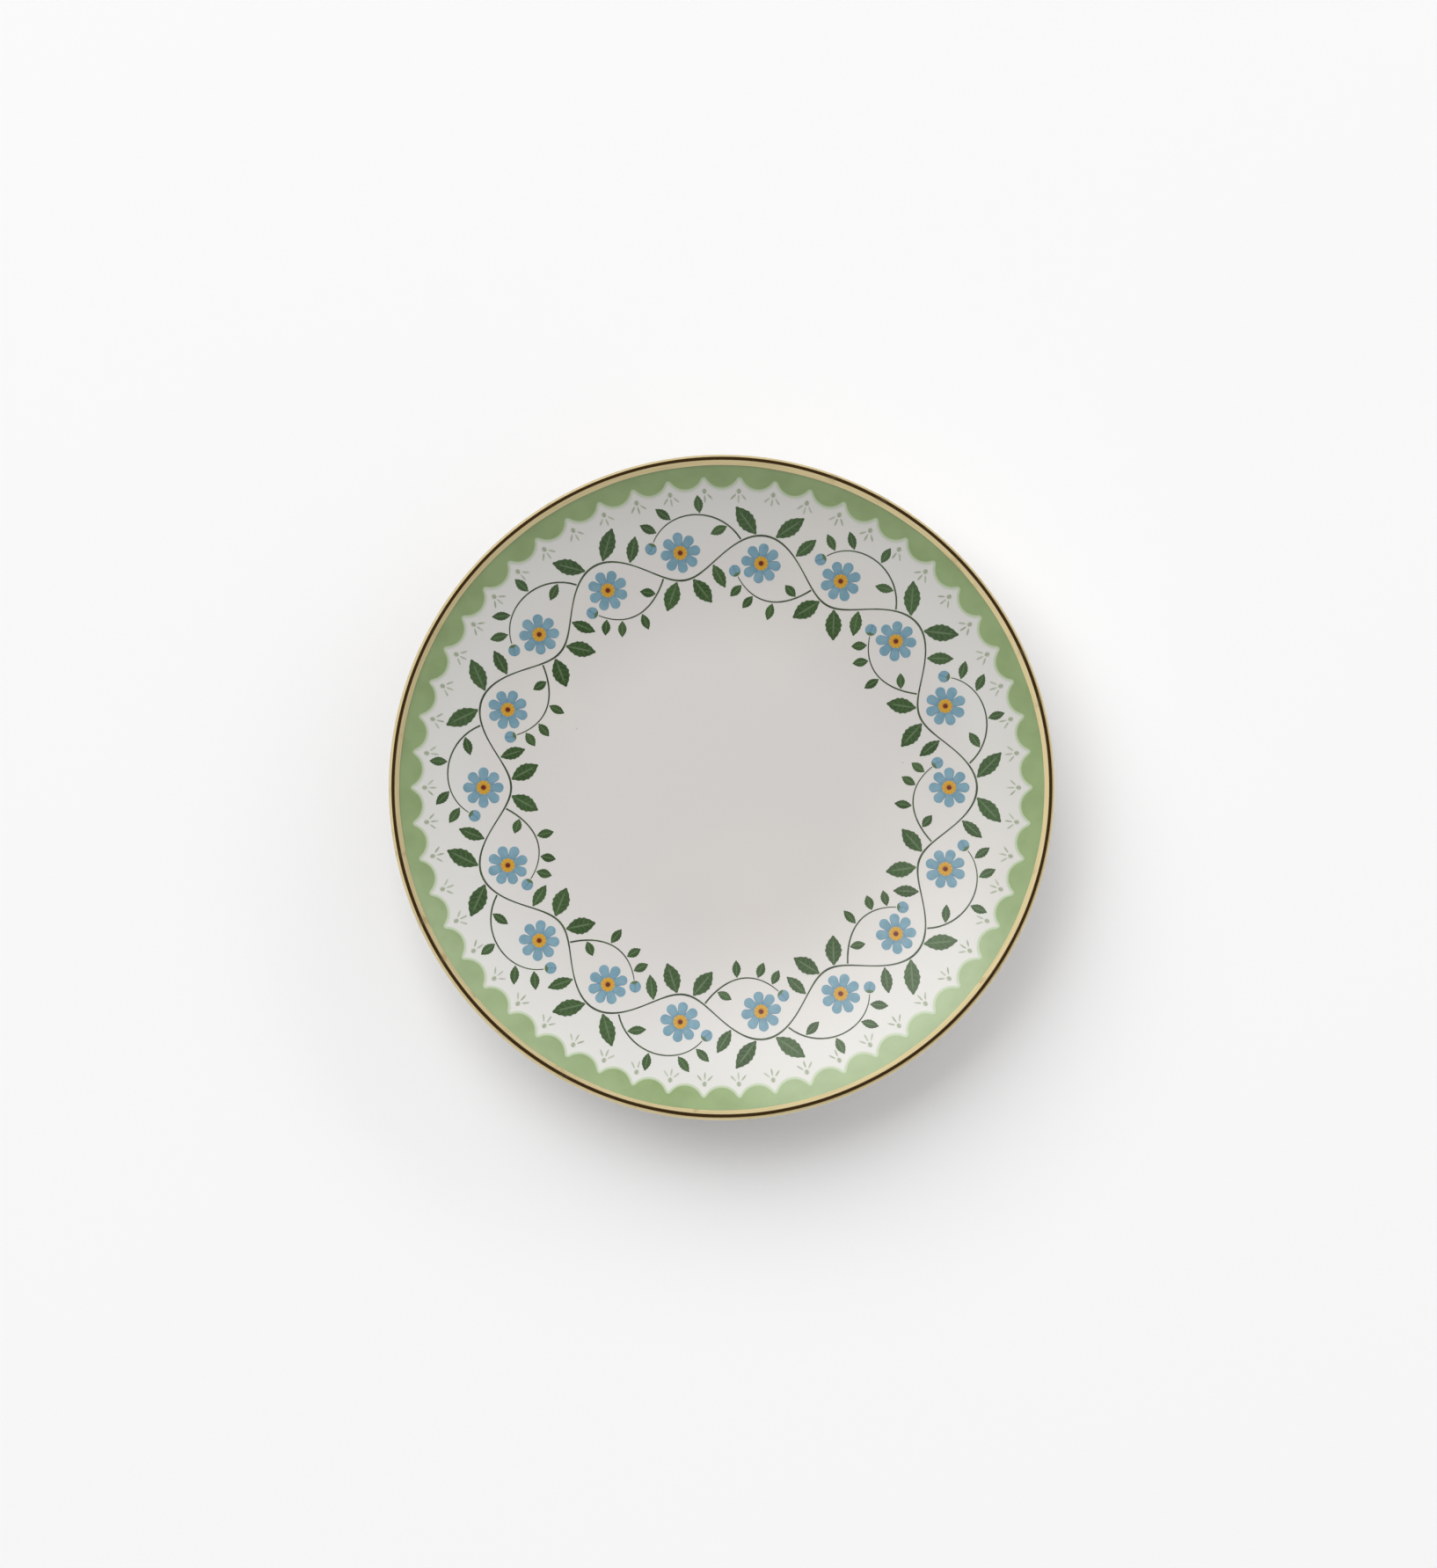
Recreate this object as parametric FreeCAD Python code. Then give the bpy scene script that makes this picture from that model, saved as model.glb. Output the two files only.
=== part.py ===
"""Ring dish: a small footed porcelain coupe for rings and earrings.

The body is thrown and fired once, coated with clear glaze everywhere but the standing edge of its foot,
fired again, decorated with enamel films (a scalloped border and a flowering vine) and finished with a
line of gold over the lip.  Every layer is a solid of its own.

Frame: origin on the table under the dish's centre, +Z up, millimetres.
"""

import FreeCAD
import Part

import math
import os

# Dish
DISH_DIAMETER = 101.6  # over the gilt lip
WELL_DEPTH = 9.92  # from the floor of the well up to the glazed lip
WELL_FLAT_RADIUS = 20.0  # the floor is flat this far out, then one arc rises to the lip
FLOOR_THICKNESS = 2.2  # over both coats of glaze; the wall thins from the floor up to the lip
LIP_THICKNESS = 0.9  # the same at the lip, and the diameter of its rounding
GLAZE_THICKNESS = 0.2
FLUX_FILM = 0.08  # the clear flux under gold and enamel, left as a gap between them and the glaze

# Foot ring
FOOT_HEIGHT = 2.7  # from the table to the glazed underside of the well
FOOT_DIAMETER = 57.0  # outside of the bare foot
FOOT_WIDTH = 2.4
FOOT_FILLET = 1.2  # bare foot into bare underside
FOOT_EDGE_RADIUS = 0.6  # rounding of the standing edge
BARE_FOOT_BAND = 0.4  # wiped clear of glaze above that rounding

# Gold line
GILT_FILM = 0.1
GILT_INSIDE_WIDTH = 0.75  # below the rounding of the lip, on the inside
GILT_OUTSIDE_WIDTH = 0.8  # the same, on the outside

# Enamel films
ENAMEL_FILM = 0.1
PRINT_GAP = 0.15  # bare glaze between neighbouring strokes

# Scalloped border
BORDER_WIDTH = 3.8  # from the gold line in to the tips of the scallops, seen from above
SCALLOPS_PER_WAVE = 6  # for each wave of the vine
SCALLOP_DEPTH = 1.6
PEARL_DIAMETER = 0.75

# Vine
WREATH_GAP = 1.6  # from the scallops' tips in to the wreath
WREATH_WIDTH = 16.0
VINE_WAVES = 9
VINE_AMPLITUDE = 3.4
VINE_WIDTH = 0.3
VINE_POINTS_PER_WAVE = 8
TENDRIL_WIDTH = 0.25
TENDRIL_POINTS = 7
TENDRIL_START_SHARE = -0.72  # place on the vine, in half waves from the crest that it curls under
TENDRIL_END_DIRECTION = 325.0  # degrees about the blossom, from the vine's run towards its crest

# Blossoms, buds and leaves are as large as their bend of the vine lets them be: shares of a half wave
BLOSSOM_SHARE = 0.5
BLOSSOM_OFFSET_SHARE = 0.064  # from the vine's mean line towards the hollow of its bend
TENDRIL_CLEARANCE_SHARE = 0.09  # from the petals' tips to the tendril's end
BUD_SHARE = 0.144
LARGE_LEAF_SHARES = (0.4, 0.22)  # length and width
MIDDLE_LEAF_SHARES = (0.32, 0.16)
SMALL_LEAF_SHARES = (0.21, 0.12)
# On the vine: place from the crest, direction in degrees, size
VINE_LEAF_SHARES = ((-0.10, 128.0, LARGE_LEAF_SHARES), (0.10, 52.0, LARGE_LEAF_SHARES),
                    (0.62, 240.0, MIDDLE_LEAF_SHARES))
# On the tendril: place along it, lean from straight outwards in degrees, size
TENDRIL_LEAF_SHARES = ((0.12, 180.0, SMALL_LEAF_SHARES), (0.35, 35.0, SMALL_LEAF_SHARES),
                       (0.62, 35.0, SMALL_LEAF_SHARES), (0.86, 10.0, SMALL_LEAF_SHARES))

# The blossom's own parts
PETAL_COUNT = 8
PETAL_NOTCH_SHARE = 0.5  # of the blossom's radius
PETAL_SHOULDER_SHARE = 0.8  # of that radius, where the rounded end of a petal begins
PETAL_FILL_SHARE = 0.82  # of a petal's sector, at its shoulder
BLOSSOM_CENTRE_SHARE = 0.35  # of the blossom's diameter
BLOSSOM_EYE_SHARE = 0.12  # of that diameter

# The bare body: its underside and its floor are flat, then an arc leads from each to the lip's rounding
glazed_floor = FOOT_HEIGHT + FLOOR_THICKNESS
floor_height = glazed_floor - GLAZE_THICKNESS
under_height = FOOT_HEIGHT + GLAZE_THICKNESS
lip_half = LIP_THICKNESS / 2 - GLAZE_THICKNESS
lip_radius = DISH_DIAMETER / 2 - GILT_FILM - FLUX_FILM - LIP_THICKNESS / 2
lip_height = glazed_floor + WELL_DEPTH - LIP_THICKNESS / 2
lip_run = lip_radius - WELL_FLAT_RADIUS
film_bed = GLAZE_THICKNESS + FLUX_FILM


def rising_radius(start_height, side):
    """The radius of the arc from a flat at this height to the lip; side is 1 inside and -1 outside."""
    rise = lip_height - start_height
    return (lip_run**2 + rise**2 - lip_half**2) / (2 * (rise + side * lip_half))


inside_radius = rising_radius(floor_height, 1)
outside_radius = rising_radius(under_height, -1)
inside_lip_angle = math.asin(lip_run / (inside_radius + lip_half))
outside_lip_angle = math.asin(lip_run / (outside_radius - lip_half))
foot_outer = FOOT_DIAMETER / 2
foot_inner = foot_outer - FOOT_WIDTH
foot_edge = min(FOOT_EDGE_RADIUS, FOOT_WIDTH / 2)
glaze_line = foot_edge + BARE_FOOT_BAND

# The decoration, seen from above
glazed_inside_radius = inside_radius - GLAZE_THICKNESS
gilt_inside_angle = inside_lip_angle - GILT_INSIDE_WIDTH / glazed_inside_radius
gilt_outside_angle = outside_lip_angle - GILT_OUTSIDE_WIDTH / (outside_radius + GLAZE_THICKNESS)
border_outer = WELL_FLAT_RADIUS + glazed_inside_radius * math.sin(gilt_inside_angle)
scallop_tip = border_outer - BORDER_WIDTH
scallop_notch = scallop_tip + SCALLOP_DEPTH
wave_angle = 2 * math.pi / VINE_WAVES
scallop_angle = wave_angle / SCALLOPS_PER_WAVE
vine_radius = scallop_tip - WREATH_GAP - WREATH_WIDTH / 2
half_wave = vine_radius * wave_angle / 2
blossom_radius = BLOSSOM_SHARE * half_wave / 2
blossom_offset = BLOSSOM_OFFSET_SHARE * half_wave
centre_diameter = BLOSSOM_CENTRE_SHARE * 2 * blossom_radius
eye_diameter = BLOSSOM_EYE_SHARE * 2 * blossom_radius
bud_diameter = BUD_SHARE * half_wave
tendril_end_radius = blossom_radius + TENDRIL_CLEARANCE_SHARE * half_wave
WAVE_BENDS = (0, 1)  # a wave bends outwards and then inwards

AXIS_POINT = FreeCAD.Vector(0, 0, 0)
UP = FreeCAD.Vector(0, 0, 1)
FULL_TURN = 360


# Profiles, drawn in the XZ plane; a coat is what lies over the bare body there


def at(radius, height):
    """A point of the profile."""
    return FreeCAD.Vector(radius, 0, height)


inside_centre = at(WELL_FLAT_RADIUS, floor_height + inside_radius)
outside_centre = at(WELL_FLAT_RADIUS, under_height + outside_radius)
lip_centre = at(lip_radius, lip_height)


def line(start, end):
    return Part.LineSegment(start, end).toShape()


def arc(start, middle, end):
    return Part.Arc(start, middle, end).toShape()


def spoke(angle):
    """Away from an arc's centre, at an angle from straight down."""
    return at(math.sin(angle), -math.cos(angle))


def inside_point(coat, angle):
    """A point of the inside of the wall."""
    return inside_centre + spoke(angle) * (inside_radius - coat)


def outside_point(coat, angle):
    """A point of the outside of the wall."""
    return outside_centre + spoke(angle) * (outside_radius + coat)


def wall_arc(point, coat, start, end):
    """Part of the inside or the outside of the wall."""
    return arc(point(coat, start), point(coat, (start + end) / 2), point(coat, end))


def lip_arc(coat):
    """The rounding of the lip, from the inside to the outside."""
    lean = (inside_lip_angle + outside_lip_angle) / 2
    tip = lip_centre + at(math.cos(lean), math.sin(lean)) * (lip_half + coat)
    return arc(inside_point(coat, inside_lip_angle), tip, outside_point(coat, outside_lip_angle))


def upper_run(coat):
    """From the centre of the well, up the wall and over the lip."""
    floor = line(at(0, floor_height + coat), inside_point(coat, 0))
    return [floor, wall_arc(inside_point, coat, 0, inside_lip_angle), lip_arc(coat)]


def outside_angle(point):
    """Where a point stands along the outside of the wall; zero or less is under the flat floor."""
    from_centre = point - outside_centre
    return math.atan2(from_centre.x, -from_centre.z)


def under_run(coat, start_angle, end):
    """Along the outside from an angle of the wall in to a point, or along the underside to it."""
    end_angle = outside_angle(end)
    if end_angle > 0:
        return [wall_arc(outside_point, coat, start_angle, end_angle)]
    return [wall_arc(outside_point, coat, start_angle, 0), line(outside_point(coat, 0), end)]


def underside_at(centre, coat):
    """The point of the underside nearest to a fillet's centre below it."""
    angle = outside_angle(centre)
    if angle > 0:
        return outside_point(coat, angle)
    return at(centre.x, under_height - coat)


def fillet_centre(radius):
    """The centre at this radius of the fillet between the foot and the bare underside."""
    run = max(radius - WELL_FLAT_RADIUS, 0)
    reach = outside_radius + FOOT_FILLET
    return at(radius, outside_centre.z - math.sqrt(reach**2 - run**2))


def foot_fillet(centre, coat, side):
    """The fillet under a coat, from the underside to the foot; side is 1 on the outside and -1 inside."""
    radius = FOOT_FILLET - coat
    top = underside_at(centre, coat)
    foot = centre - at(side * radius, 0)
    outwards = (top - centre).normalize() + (foot - centre).normalize()
    return arc(top, centre + outwards.normalize() * radius, foot)


outer_fillet = fillet_centre(foot_outer + FOOT_FILLET)
inner_fillet = fillet_centre(foot_inner - FOOT_FILLET)


def outside_run(coat, end_height):
    """From the lip down the outside and over the outer fillet to a height on the foot."""
    run = under_run(coat, outside_lip_angle, underside_at(outer_fillet, coat))
    foot_top = at(foot_outer + coat, outer_fillet.z)
    return run + [foot_fillet(outer_fillet, coat, 1), line(foot_top, at(foot_top.x, end_height))]


def base_run(coat, start_height):
    """From a height inside the foot, over the inner fillet and across the underside to the axis."""
    foot_top = at(foot_inner - coat, inner_fillet.z)
    run = [line(at(foot_top.x, start_height), foot_top), foot_fillet(inner_fillet, coat, -1)]
    start = underside_at(inner_fillet, coat)
    centre = at(0, under_height - coat)
    if outside_angle(start) > 0:
        return run + under_run(coat, outside_angle(start), centre)
    return run + [line(start, centre)]


def standing_edge():
    """Round the bare foot, from its outside to its inside."""
    shortfall = foot_edge * (1 - math.sqrt(0.5))
    outer_edge = at(foot_outer - foot_edge, 0)
    inner_edge = at(foot_inner + foot_edge, 0)
    outer_round = arc(at(foot_outer, foot_edge), at(foot_outer - shortfall, shortfall), outer_edge)
    inner_round = arc(inner_edge, at(foot_inner + shortfall, shortfall), at(foot_inner, foot_edge))
    if inner_edge.x < outer_edge.x:
        return [outer_round, line(outer_edge, inner_edge), inner_round]
    return [outer_round, inner_round]


def profile_face(edges):
    return Part.Face(Part.Wire(Part.__sortEdges__(edges)))


def turned(edges):
    """The solid that a closed profile sweeps about the dish's axis."""
    return profile_face(edges).revolve(AXIS_POINT, UP, FULL_TURN)


# The dish


def porcelain_body():
    """The fired body: well, curved wall, rounded lip and foot ring."""
    rim = upper_run(0) + outside_run(0, foot_edge)
    base = standing_edge() + base_run(0, foot_edge)
    axis = line(at(0, under_height), at(0, floor_height))
    return [turned(rim + base + [axis])]


def face_glaze():
    """The glaze over the inside, the lip and the outside, down to the wiped edge on the foot."""
    bare = upper_run(0) + outside_run(0, glaze_line)
    glazed = upper_run(GLAZE_THICKNESS) + outside_run(GLAZE_THICKNESS, glaze_line)
    axis = line(at(0, floor_height), at(0, glazed_floor))
    wiped_edge = line(at(foot_outer, glaze_line), at(foot_outer + GLAZE_THICKNESS, glaze_line))
    return [turned(bare + glazed + [axis, wiped_edge])]


def base_glaze():
    """The glaze on the underside within the foot ring."""
    bare = base_run(0, glaze_line)
    glazed = base_run(GLAZE_THICKNESS, glaze_line)
    axis = line(at(0, FOOT_HEIGHT), at(0, under_height))
    wiped_edge = line(at(foot_inner, glaze_line), at(foot_inner - GLAZE_THICKNESS, glaze_line))
    return [turned(bare + glazed + [axis, wiped_edge])]


def gilt_rim_line():
    """The gold over the lip, from just inside its rounding to a little way down the outside."""

    def over_lip(coat):
        inside = wall_arc(inside_point, coat, gilt_inside_angle, inside_lip_angle)
        outside = wall_arc(outside_point, coat, outside_lip_angle, gilt_outside_angle)
        return [inside, lip_arc(coat), outside]

    top = film_bed + GILT_FILM
    inner_edge = line(inside_point(film_bed, gilt_inside_angle), inside_point(top, gilt_inside_angle))
    outer_edge = line(outside_point(film_bed, gilt_outside_angle), outside_point(top, gilt_outside_angle))
    return [turned(over_lip(film_bed) + over_lip(top) + [inner_edge, outer_edge])]


# Enamel: outlines drawn from above, then cut from a film that lies on the curved wall


def enamel_film():
    """Half a turn of the film, about +X, from the edge of the flat floor up to the gold line.

    Its faces are spline surfaces, which small outlines divide into few facets.
    """
    top = film_bed + ENAMEL_FILM
    sides = [wall_arc(inside_point, coat, 0, gilt_inside_angle) for coat in (film_bed, top)]
    ends = [line(inside_point(film_bed, end), inside_point(top, end)) for end in (0, gilt_inside_angle)]
    section = profile_face(sides + ends)
    section.rotate(AXIS_POINT, UP, -FULL_TURN / 4)
    return section.revolve(AXIS_POINT, UP, FULL_TURN / 2).toNurbs()


def printed(outlines):
    """The film under each flat outline."""
    film = enamel_film()
    rise = UP * (lip_height + LIP_THICKNESS)
    solids = []
    for outline in outlines:
        solids += film.common(outline.extrude(rise)).Solids
    return solids


def repeated(solids, count):
    """Copies at even steps round the dish."""
    copies = []
    for index in range(count):
        for solid in solids:
            copy = solid.copy()
            copy.rotate(AXIS_POINT, UP, FULL_TURN * index / count)
            copies.append(copy)
    return copies


def joined(solids):
    """Solids that meet face to face, made one."""
    return solids[0].multiFuse(solids[1:]).Solids


def polar(radius, angle):
    return FreeCAD.Vector(radius * math.cos(angle), radius * math.sin(angle), 0)


def disc(centre, diameter):
    return Part.Face(Part.Wire(Part.Circle(centre, UP, diameter / 2).toShape()))


def with_hole(outer, inner):
    return outer.cut(inner).Faces[0]


def scallop_border():
    """The green band under the gold line: the scallops of one wave, repeated and joined into a ring."""
    edges = []
    for index in range(SCALLOPS_PER_WAVE):
        start = index * scallop_angle
        tip = polar(scallop_tip, start + scallop_angle / 2)
        edges.append(arc(polar(scallop_notch, start), tip, polar(scallop_notch, start + scallop_angle)))
    corners = [polar(DISH_DIAMETER, angle) for angle in (wave_angle, 0)]
    edges += [line(polar(scallop_notch, wave_angle), corners[0]), line(*corners)]
    edges.append(line(corners[1], polar(scallop_notch, 0)))
    return joined(repeated(printed([Part.Face(Part.Wire(edges))]), VINE_WAVES))


def border_pearls():
    """A dot of enamel under each notch of the border."""
    pearl = disc(polar(scallop_tip, 0), PEARL_DIAMETER)
    return repeated(printed([pearl]), VINE_WAVES * SCALLOPS_PER_WAVE)


def on_ring(bend, along, out):
    """A point beside a bend of the vine: along its mean line and out towards that bend's crest."""
    side = 1 if bend % 2 == 0 else -1
    return polar(vine_radius + side * out, (bend * half_wave + along) / vine_radius)


def vine_out(share):
    """How far the vine stands out from its mean line, in half waves from a crest."""
    return VINE_AMPLITUDE * math.cos(math.pi * share)


def stroke(sides):
    """The outline between two curves."""
    ends = [line(sides[0].value(end), sides[1].value(end)) for end in (0, 1)]
    return Part.Face(Part.Wire(Part.__sortEdges__([side.toShape() for side in sides] + ends)))


def smooth(points, **tangents):
    """A curve through points, with its parameter from 0 to 1."""
    curve = Part.BSplineCurve()
    curve.interpolate(points, **tangents)
    curve.setKnots([knot / curve.LastParameter for knot in curve.getKnots()])
    return curve


def stem_side(side):
    """One edge of the waving stem, from one outer crest to the next."""
    points = []
    for index in range(VINE_POINTS_PER_WAVE + 1):
        angle = wave_angle * index / VINE_POINTS_PER_WAVE
        radius = vine_radius + VINE_AMPLITUDE * math.cos(VINE_WAVES * angle)
        slope = VINE_AMPLITUDE * VINE_WAVES * math.sin(VINE_WAVES * angle)
        normal = polar(radius, angle) + polar(slope, angle + math.pi / 2)
        points.append(polar(radius, angle) + normal.normalize() * (side * VINE_WIDTH / 2))
    tangents = [polar(1, angle + math.pi / 2) for angle in (0, wave_angle)]
    return smooth(points, InitialTangent=tangents[0], FinalTangent=tangents[1], Scale=False)


def tendril_point(share, offset=0):
    """A point of the spiral under a blossom, and its direction about the blossom, in radians."""
    start_along = TENDRIL_START_SHARE * half_wave
    start_out = vine_out(TENDRIL_START_SHARE) + blossom_offset - VINE_WIDTH / 2 - PRINT_GAP
    start_radius = math.hypot(start_along, start_out)
    start = math.atan2(start_out, start_along) % (2 * math.pi)
    direction = start + (math.radians(TENDRIL_END_DIRECTION) - start) * share
    radius = tendril_end_radius + (start_radius - tendril_end_radius) * (1 - share) ** 2 + offset
    return radius * math.cos(direction), radius * math.sin(direction) - blossom_offset, direction


def tendril_side(bend, side):
    """One edge of the tendril under a bend's blossom."""
    shares = [index / (TENDRIL_POINTS - 1) for index in range(TENDRIL_POINTS)]
    places = [tendril_point(share, side * TENDRIL_WIDTH / 2) for share in shares]
    return smooth([on_ring(bend, along, out) for along, out, _ in places])


def vine_stem():
    """The waving stem, one wave repeated and joined into a ring, and a tendril under each blossom."""
    stem = stroke([stem_side(side) for side in (1, -1)])
    tendrils = [stroke([tendril_side(bend, side) for side in (1, -1)]) for bend in WAVE_BENDS]
    return joined(repeated(printed([stem]), VINE_WAVES)) + repeated(printed(tendrils), VINE_WAVES)


def leaf(bend, along, out, direction, size_shares):
    """A pointed leaf that grows from a place beside a bend."""
    length, width = [share * half_wave for share in size_shares]
    base = on_ring(bend, along, out)
    tip = on_ring(bend, along + length * math.cos(direction), out + length * math.sin(direction))
    middle = (base + tip) / 2
    across = (tip - base).cross(UP).normalize() * (width / 2)
    return Part.Face(Part.Wire([arc(base, middle + across, tip), arc(tip, middle - across, base)]))


def laurel_leaves():
    """A pair of leaves on each crest, one on its flank, and small ones along the tendril."""
    stem_gap = VINE_WIDTH / 2 + PRINT_GAP
    tendril_gap = TENDRIL_WIDTH / 2 + PRINT_GAP
    outlines = []
    for bend in WAVE_BENDS:
        for share, degrees, size_shares in VINE_LEAF_SHARES:
            direction = math.radians(degrees)
            along = share * half_wave + stem_gap * math.cos(direction)
            out = vine_out(share) + stem_gap * math.sin(direction)
            outlines.append(leaf(bend, along, out, direction, size_shares))
        for share, lean, size_shares in TENDRIL_LEAF_SHARES:
            along, out, around = tendril_point(share)
            direction = around + math.radians(lean)
            along += tendril_gap * math.cos(direction)
            out += tendril_gap * math.sin(direction)
            outlines.append(leaf(bend, along, out, direction, size_shares))
    return repeated(printed(outlines), VINE_WAVES)


def rosette(centre):
    """The outline of a blossom: round-ended petals that meet in notches."""
    half_step = math.pi / PETAL_COUNT
    notch_radius = blossom_radius * PETAL_NOTCH_SHARE
    shoulder_radius = blossom_radius * PETAL_SHOULDER_SHARE
    shoulder_turn = half_step * PETAL_FILL_SHARE
    edges = []
    for index in range(PETAL_COUNT):
        middle = math.atan2(centre.y, centre.x) + 2 * index * half_step
        notches = [centre + polar(notch_radius, middle + side * half_step) for side in (-1, 1)]
        shoulders = [centre + polar(shoulder_radius, middle + side * shoulder_turn) for side in (-1, 1)]
        tip = centre + polar(blossom_radius, middle)
        edges += [line(notches[0], shoulders[0]), arc(shoulders[0], tip, shoulders[1])]
        edges.append(line(shoulders[1], notches[1]))
    return Part.Face(Part.Wire(edges))


blossom_places = [on_ring(bend, 0, -blossom_offset) for bend in WAVE_BENDS]


def blossom_petals():
    """A ring of petals round the centre of each blossom."""
    petals = [with_hole(rosette(place), disc(place, centre_diameter)) for place in blossom_places]
    return repeated(printed(petals), VINE_WAVES)


def blossom_centres():
    """The amber ring in each blossom."""
    rings = []
    for place in blossom_places:
        rings.append(with_hole(disc(place, centre_diameter), disc(place, eye_diameter)))
    return repeated(printed(rings), VINE_WAVES)


def blossom_eyes():
    """The dark dot at the middle of each blossom."""
    return repeated(printed([disc(place, eye_diameter) for place in blossom_places]), VINE_WAVES)


def flower_buds():
    """The round bud at the end of each tendril."""
    along, out, direction = tendril_point(1)
    step = bud_diameter / 2 + PRINT_GAP
    along -= step * math.sin(direction)
    out += step * math.cos(direction)
    buds = [disc(on_ring(bend, along, out), bud_diameter) for bend in WAVE_BENDS]
    return repeated(printed(buds), VINE_WAVES)


NODES = (porcelain_body, face_glaze, base_glaze, gilt_rim_line, scallop_border, border_pearls, vine_stem,
         laurel_leaves, blossom_petals, blossom_centres, blossom_eyes, flower_buds)

os.makedirs("parts", exist_ok=True)
for node in NODES:
    solids = node()
    shape = solids[0] if len(solids) == 1 else Part.makeCompound(solids)
    shape.exportStep(os.path.join("parts", node.__name__ + ".step"))
    print(f"{node.__name__}: {len(solids)} solids, {shape.Volume:.2f} mm3, valid {shape.isValid()}")
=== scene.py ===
import math
import random

import bmesh
import bpy
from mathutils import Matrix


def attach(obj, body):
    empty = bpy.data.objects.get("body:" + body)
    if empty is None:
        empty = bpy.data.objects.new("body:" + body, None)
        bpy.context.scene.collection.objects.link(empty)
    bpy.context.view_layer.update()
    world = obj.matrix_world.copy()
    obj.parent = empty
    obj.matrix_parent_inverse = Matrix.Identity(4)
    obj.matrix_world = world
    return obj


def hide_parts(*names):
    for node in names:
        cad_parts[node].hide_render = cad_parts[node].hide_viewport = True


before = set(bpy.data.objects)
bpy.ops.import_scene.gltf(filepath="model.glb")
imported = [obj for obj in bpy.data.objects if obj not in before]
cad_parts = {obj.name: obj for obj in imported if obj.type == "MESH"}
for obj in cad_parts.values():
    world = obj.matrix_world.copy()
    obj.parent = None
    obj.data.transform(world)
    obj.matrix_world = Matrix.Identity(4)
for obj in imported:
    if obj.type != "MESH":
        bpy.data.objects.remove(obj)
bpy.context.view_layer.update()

# Porcelain body
# The dish itself: a shallow coupe on a foot ring, jiggered from white porcelain clay and fired to biscuit.
# Its well is flat in the middle and rises in one arc to a thin rounded lip. It shows bare only on the foot.
MM = 0.001
DISH_DIAMETER = 101.6 * MM
WELL_DEPTH = 9.92 * MM
WELL_FLAT_RADIUS = 20.0 * MM
FLOOR_THICKNESS = 2.2 * MM
LIP_THICKNESS = 0.9 * MM
GLAZE_THICKNESS = 0.2 * MM
FLUX_FILM = 0.08 * MM
GILT_FILM = 0.1 * MM
FOOT_HEIGHT = 2.7 * MM
FOOT_DIAMETER = 57.0 * MM
FOOT_WIDTH = 2.4 * MM
FOOT_FILLET = 1.2 * MM
FOOT_EDGE_RADIUS = 0.6 * MM
BARE_FOOT_BAND = 0.4 * MM
TURNED_SEGMENTS = 240
WALL_STEPS = 40
OUTSIDE_STEPS = 28
LIP_STEPS = 14
FILLET_STEPS = 8
SHORT_ARC_STEPS = 6
# Keeps a whole ring number from being rounded down
INDEX_NUDGE = 0.0001
WELD_DISTANCE = 0.0002 * MM
CREASE_ANGLE = math.radians(40)
BISCUIT_GRAIN_SIZE = 0.35 * MM
BISCUIT_GRAIN_DEPTH = 0.02 * MM
BISCUIT_CLOUD_SIZE = 6 * MM
SCUFF_SIZE = 2.5 * MM
SCUFF_HEIGHT = 0.35 * MM
BISCUIT_WHITE = (226, 221, 211)
BISCUIT_GREY = (196, 189, 178)
FOOT_GRIME = (150, 141, 128)

glazed_floor = FOOT_HEIGHT + FLOOR_THICKNESS
floor_height = glazed_floor - GLAZE_THICKNESS
under_height = FOOT_HEIGHT + GLAZE_THICKNESS
lip_half = LIP_THICKNESS / 2 - GLAZE_THICKNESS
lip_radius = DISH_DIAMETER / 2 - GILT_FILM - FLUX_FILM - LIP_THICKNESS / 2
lip_height = glazed_floor + WELL_DEPTH - LIP_THICKNESS / 2
lip_run = lip_radius - WELL_FLAT_RADIUS
inside_rise = lip_height - floor_height
outside_rise = lip_height - under_height
inside_radius = (lip_run**2 + inside_rise**2 - lip_half**2) / (2 * (inside_rise + lip_half))
outside_radius = (lip_run**2 + outside_rise**2 - lip_half**2) / (2 * (outside_rise - lip_half))
inside_lip_angle = math.asin(lip_run / (inside_radius + lip_half))
outside_lip_angle = math.asin(lip_run / (outside_radius - lip_half))
inside_centre = (WELL_FLAT_RADIUS, floor_height + inside_radius)
outside_centre = (WELL_FLAT_RADIUS, under_height + outside_radius)
foot_outer = FOOT_DIAMETER / 2
foot_inner = foot_outer - FOOT_WIDTH
glaze_line = FOOT_EDGE_RADIUS + BARE_FOOT_BAND


def arc_points(centre, radius, start, end, count):
    """Points of an arc in the profile; its angles run from straight down towards the outside."""
    points = []
    for index in range(count + 1):
        angle = start + (end - start) * index / count
        points.append((centre[0] + radius * math.sin(angle), centre[1] - radius * math.cos(angle)))
    return points


def fillet_centre(radius):
    """The fillet between the foot and the underside: its centre at this radius, and its angle there."""
    run = radius - WELL_FLAT_RADIUS
    drop = math.sqrt((outside_radius + FOOT_FILLET) ** 2 - run**2)
    return (radius, outside_centre[1] - drop), math.atan2(run, drop)


outer_fillet, outer_fillet_angle = fillet_centre(foot_outer + FOOT_FILLET)
inner_fillet, inner_fillet_angle = fillet_centre(foot_inner - FOOT_FILLET)


def inside_points(coat, start, end, count):
    """An arc of the inside on this coat."""
    return arc_points(inside_centre, inside_radius - coat, start, end, count)


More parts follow.
